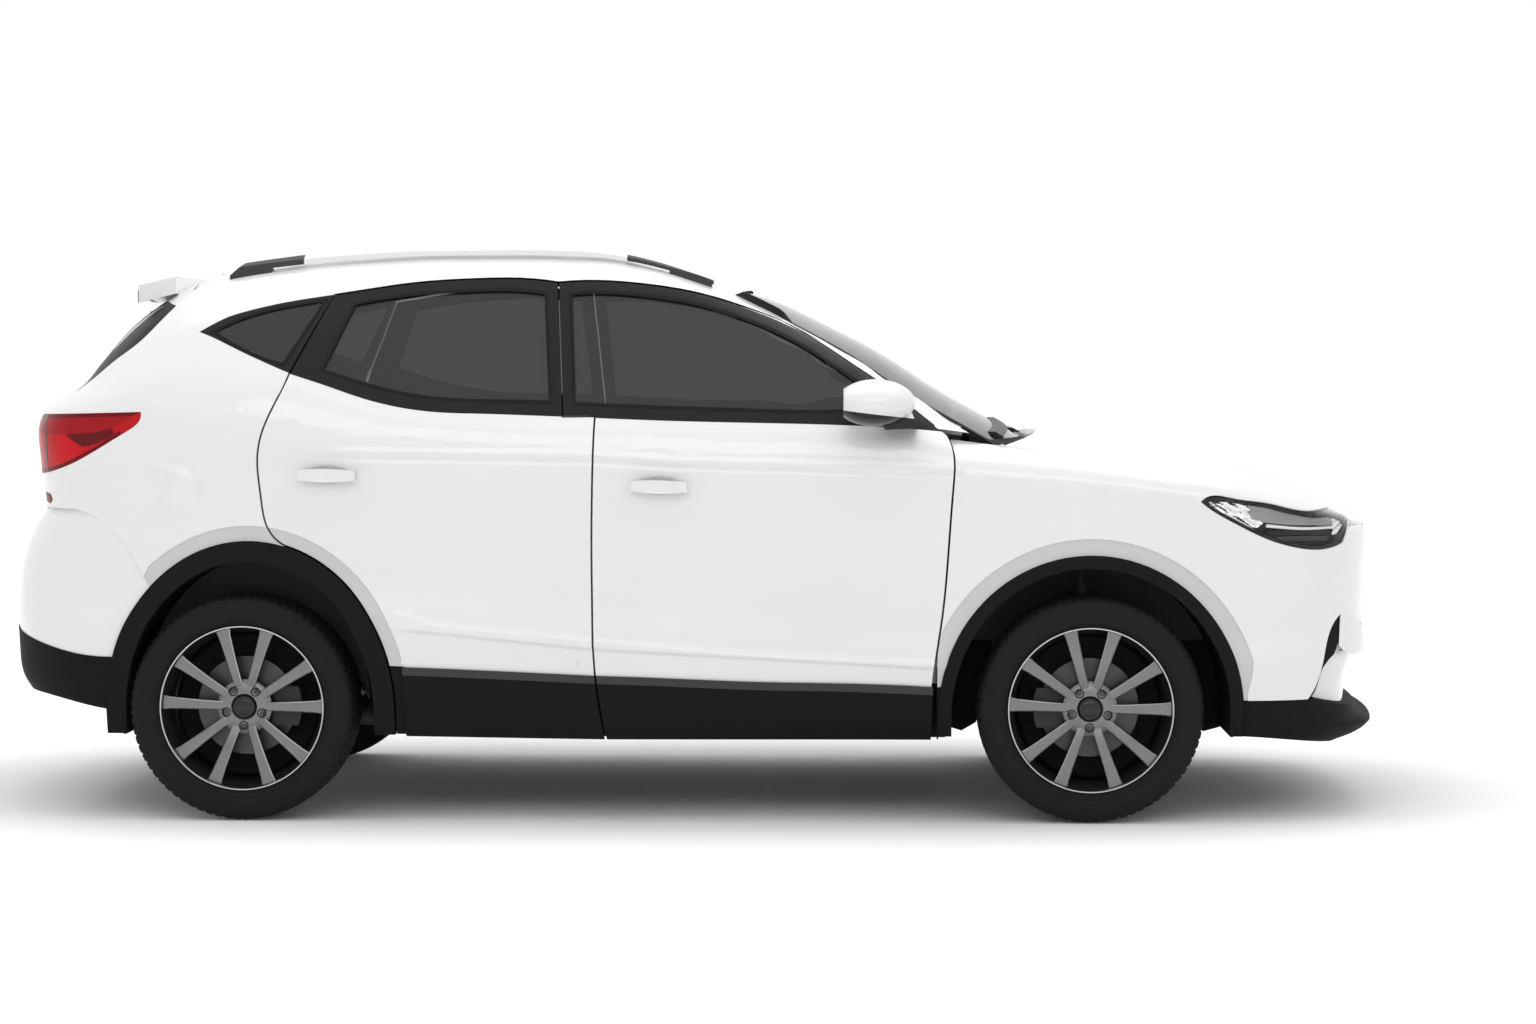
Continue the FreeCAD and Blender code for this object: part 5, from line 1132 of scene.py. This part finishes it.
def make_seats():
    for side in sides:
        y = -0.385 if side == "right" else 0.385
        seams, cross_seams = (0.62,), (0.3, 0.5, 0.7)
        cushion = add_pad("front_cushion_" + side, (-0.055, 0.395), (0.430, 0.430), (-0.07, 0.997),
                          y, 0.50, 0.14, 0.030, seams, cross_seams)
        support = add_pad("front_backrest_" + side, (0.050, 0.475), (-0.120, 1.085), (0.963, 0.268),
                          y, 0.48, 0.13, 0.035, seams, cross_seams)
        head = add_pad("front_head_rest_" + side, (-0.108, 1.118), (-0.130, 1.245), (0.98, 0.17),
                       y, 0.26, 0.085, 0.0, (), ())
        if side == "right":
            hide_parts("front_seats")
    seams, cross_seams = (0.35,), (0.35, 0.7)
    bench = add_pad("rear_cushion", (-0.870, 0.440), (-0.390, 0.450), (-0.02, 1.0),
                    0.0, 1.14, 0.10, 0.010, seams, cross_seams, around=140)
    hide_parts("rear_seat")
    support = add_pad("rear_backrest", (-0.790, 0.480), (-0.985, 1.045), (0.945, 0.326),
                      0.0, 1.12, 0.11, 0.010, seams, cross_seams, around=140)
    for side in sides:
        y = -0.40 if side == "right" else 0.40
        head = add_pad("rear_head_rest_" + side, (-0.985, 1.075), (-1.015, 1.190), (0.97, 0.22),
                       y, 0.24, 0.075, 0.0, (), ())


# Cabin linings over the inner faces of the panels
lining_lift = 0.0012


def make_linings():
    def pillar(centre, normal):
        inward = normal.y * (1 if centre.y < 0 else -1) > 0.25
        behind_door = centre.z < 0.6 and centre.x < -0.9
        return inward and centre.x > -1.75 and abs(centre.y) < 0.87 and not behind_door

    linings = [
        ("headlining", "roof_panel", 0.002,
         lambda c, n: n.z < -0.5 and -1.45 < c.x < 0.15, "headlining", "body"),
        ("floor_carpet", "floor_pan", 0.003,
         lambda c, n: n.z > 0.4 or (n.x > 0.5 and c.x > -1.2), "carpet", "body"),
        ("pillar_linings", "body_sides", lining_lift, pillar, "cabin_black", "body")]
    for side, inward in (("right", 1), ("left", -1)):
        for end in ("front", "rear"):
            linings.append((
                f"{end}_door_lining_{side}", f"{end}_door_{side}", lining_lift,
                lambda c, n, way=inward: n.y * way > 0.35, "cabin_black", f"{end}_door_body_{side}"))
    linings.append(("tailgate_lining", "tailgate", lining_lift,
                    lambda c, n: n.x > 0.3 and c.x < -1.6, "cabin_black", "tailgate_body"))
    for name, node, lift, keep, key, body in linings:
        add_piece(name, lifted(name, nodes[node].data, lift, keep), key, body)


# Front wings: the CAD panels, with the thin tongue below the sill trimmed off
def make_wings():
    form = welded(nodes["fenders"].data)
    slice_form(form, Vector((0, 0, 0.252)), Vector((0, 0, 1)), clear_inner=True)
    bmesh.ops.holes_fill(form, edges=[e for e in form.edges if e.is_boundary], sides=0)
    smooth_under(form, 30.0)
    wings = add_piece("wing_panels", store("wing_panels", form), "white_paint", "body")
    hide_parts("fenders")


# Grille: the CAD bars, with the lower ones set back into the bumper's recess
def make_grille():
    form = bmesh.new()
    form.from_mesh(nodes["grille"].data)
    for vert in form.verts:
        vert.co.x -= 0.036 * soft_drop(vert.co.z, 0.500, 0.545)
    bars = add_piece("grille_bars", to_mesh("grille_bars", form), "gloss_black", "body")
    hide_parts("grille")


# Floor, world and lights
floor_reach = 60.0


def sees_backdrop(tree):
    """One for the rays that show the plain white background: seen, mirrored or through glass."""
    rays = tree.nodes.new("ShaderNodeLightPath")
    shown = maths(tree, "MAXIMUM", rays.outputs["Is Camera Ray"], rays.outputs["Is Glossy Ray"])
    return maths(tree, "MAXIMUM", shown, rays.outputs["Is Transmission Ray"])


def floor_material():
    """A pale floor that glows toward white with the distance from the car, so that no horizon shows; its glow is
    held low near the car, a painted shadow that deepens the real one under it.
    """
    material = bpy.data.materials.new("studio_floor")
    material.use_nodes = True
    tree = material.node_tree
    shader = tree.nodes["Principled BSDF"]
    shader.inputs["Roughness"].default_value = 0.9
    shader.inputs["Specular IOR Level"].default_value = 0.1
    shader.inputs["Base Color"].default_value = (0.86, 0.86, 0.86, 1)
    shader.inputs["Emission Strength"].default_value = 1.0
    spot = tree.nodes.new("ShaderNodeVectorMath")
    spot.operation = "MULTIPLY"
    spot.inputs[1].default_value = (0.40, 0.75, 0.0)
    feed(tree, tree.nodes.new("ShaderNodeTexCoord").outputs["Object"], spot.inputs[0])
    distance = tree.nodes.new("ShaderNodeVectorMath")
    distance.operation = "LENGTH"
    feed(tree, spot.outputs[0], distance.inputs[0])
    # Painted shadow: the glow stays near nothing close to the car and rises to white further out
    glow = remap(tree, distance.outputs["Value"], 0.75, 1.5, 0.01, 0.30)
    seen = maths(tree, "MULTIPLY", sees_backdrop(tree), glow)
    shade = tree.nodes.new("ShaderNodeCombineColor")
    for channel in range(3):
        feed(tree, seen, shade.inputs[channel])
    feed(tree, shade.outputs[0], shader.inputs["Emission Color"])
    return material


def make_studio():
    scene = bpy.context.scene
    scene.view_settings.view_transform = "Standard"
    floor_mesh = bpy.data.meshes.new("studio_floor")
    corners = [(x * floor_reach, y * floor_reach, 0) for x, y in ((-1, -1), (1, -1), (1, 1), (-1, 1))]
    floor_mesh.from_pydata(corners, [], [(0, 1, 2, 3)])
    floor_mesh.materials.append(floor_material())
    floor = in_scene("studio_floor", floor_mesh)
    world = bpy.data.worlds.new("studio")
    scene.world = world
    world.use_nodes = True
    tree = world.node_tree
    sky = tree.nodes["Background"]
    split = tree.nodes.new("ShaderNodeSeparateXYZ")
    feed(tree, tree.nodes.new("ShaderNodeTexCoord").outputs["Generated"], split.inputs[0])
    brightness = remap(tree, split.outputs["Z"], -0.15, 0.9, 0.48, 1.10)
    mix = tree.nodes.new("ShaderNodeMix")
    for index, source in ((0, sees_backdrop(tree)), (2, brightness), (3, 1.0)):
        feed(tree, source, mix.inputs[index])
    feed(tree, mix.outputs[0], sky.inputs["Strength"])
    sky.inputs["Color"].default_value = (1, 1, 1, 1)
    make_lamp("overhead_panel", (0.0, 0.0, 5.5), (0, 0, 0), (7.0, 4.0), 90)
    make_lamp("side_panel", (0.5, -7.5, 4.2), (0, 0, 0.8), (7.0, 2.0), 60)


make_camera()
dress_all()
window_frames()
dark_corners()
body_sheets()
make_tyres()
make_rims()
make_brake_plates()
make_arch_flaps()
glass_borders()
make_headlamps()
make_tail_lamps()
make_mirrors()
make_seats()
make_linings()
make_wings()
make_grille()
make_studio()
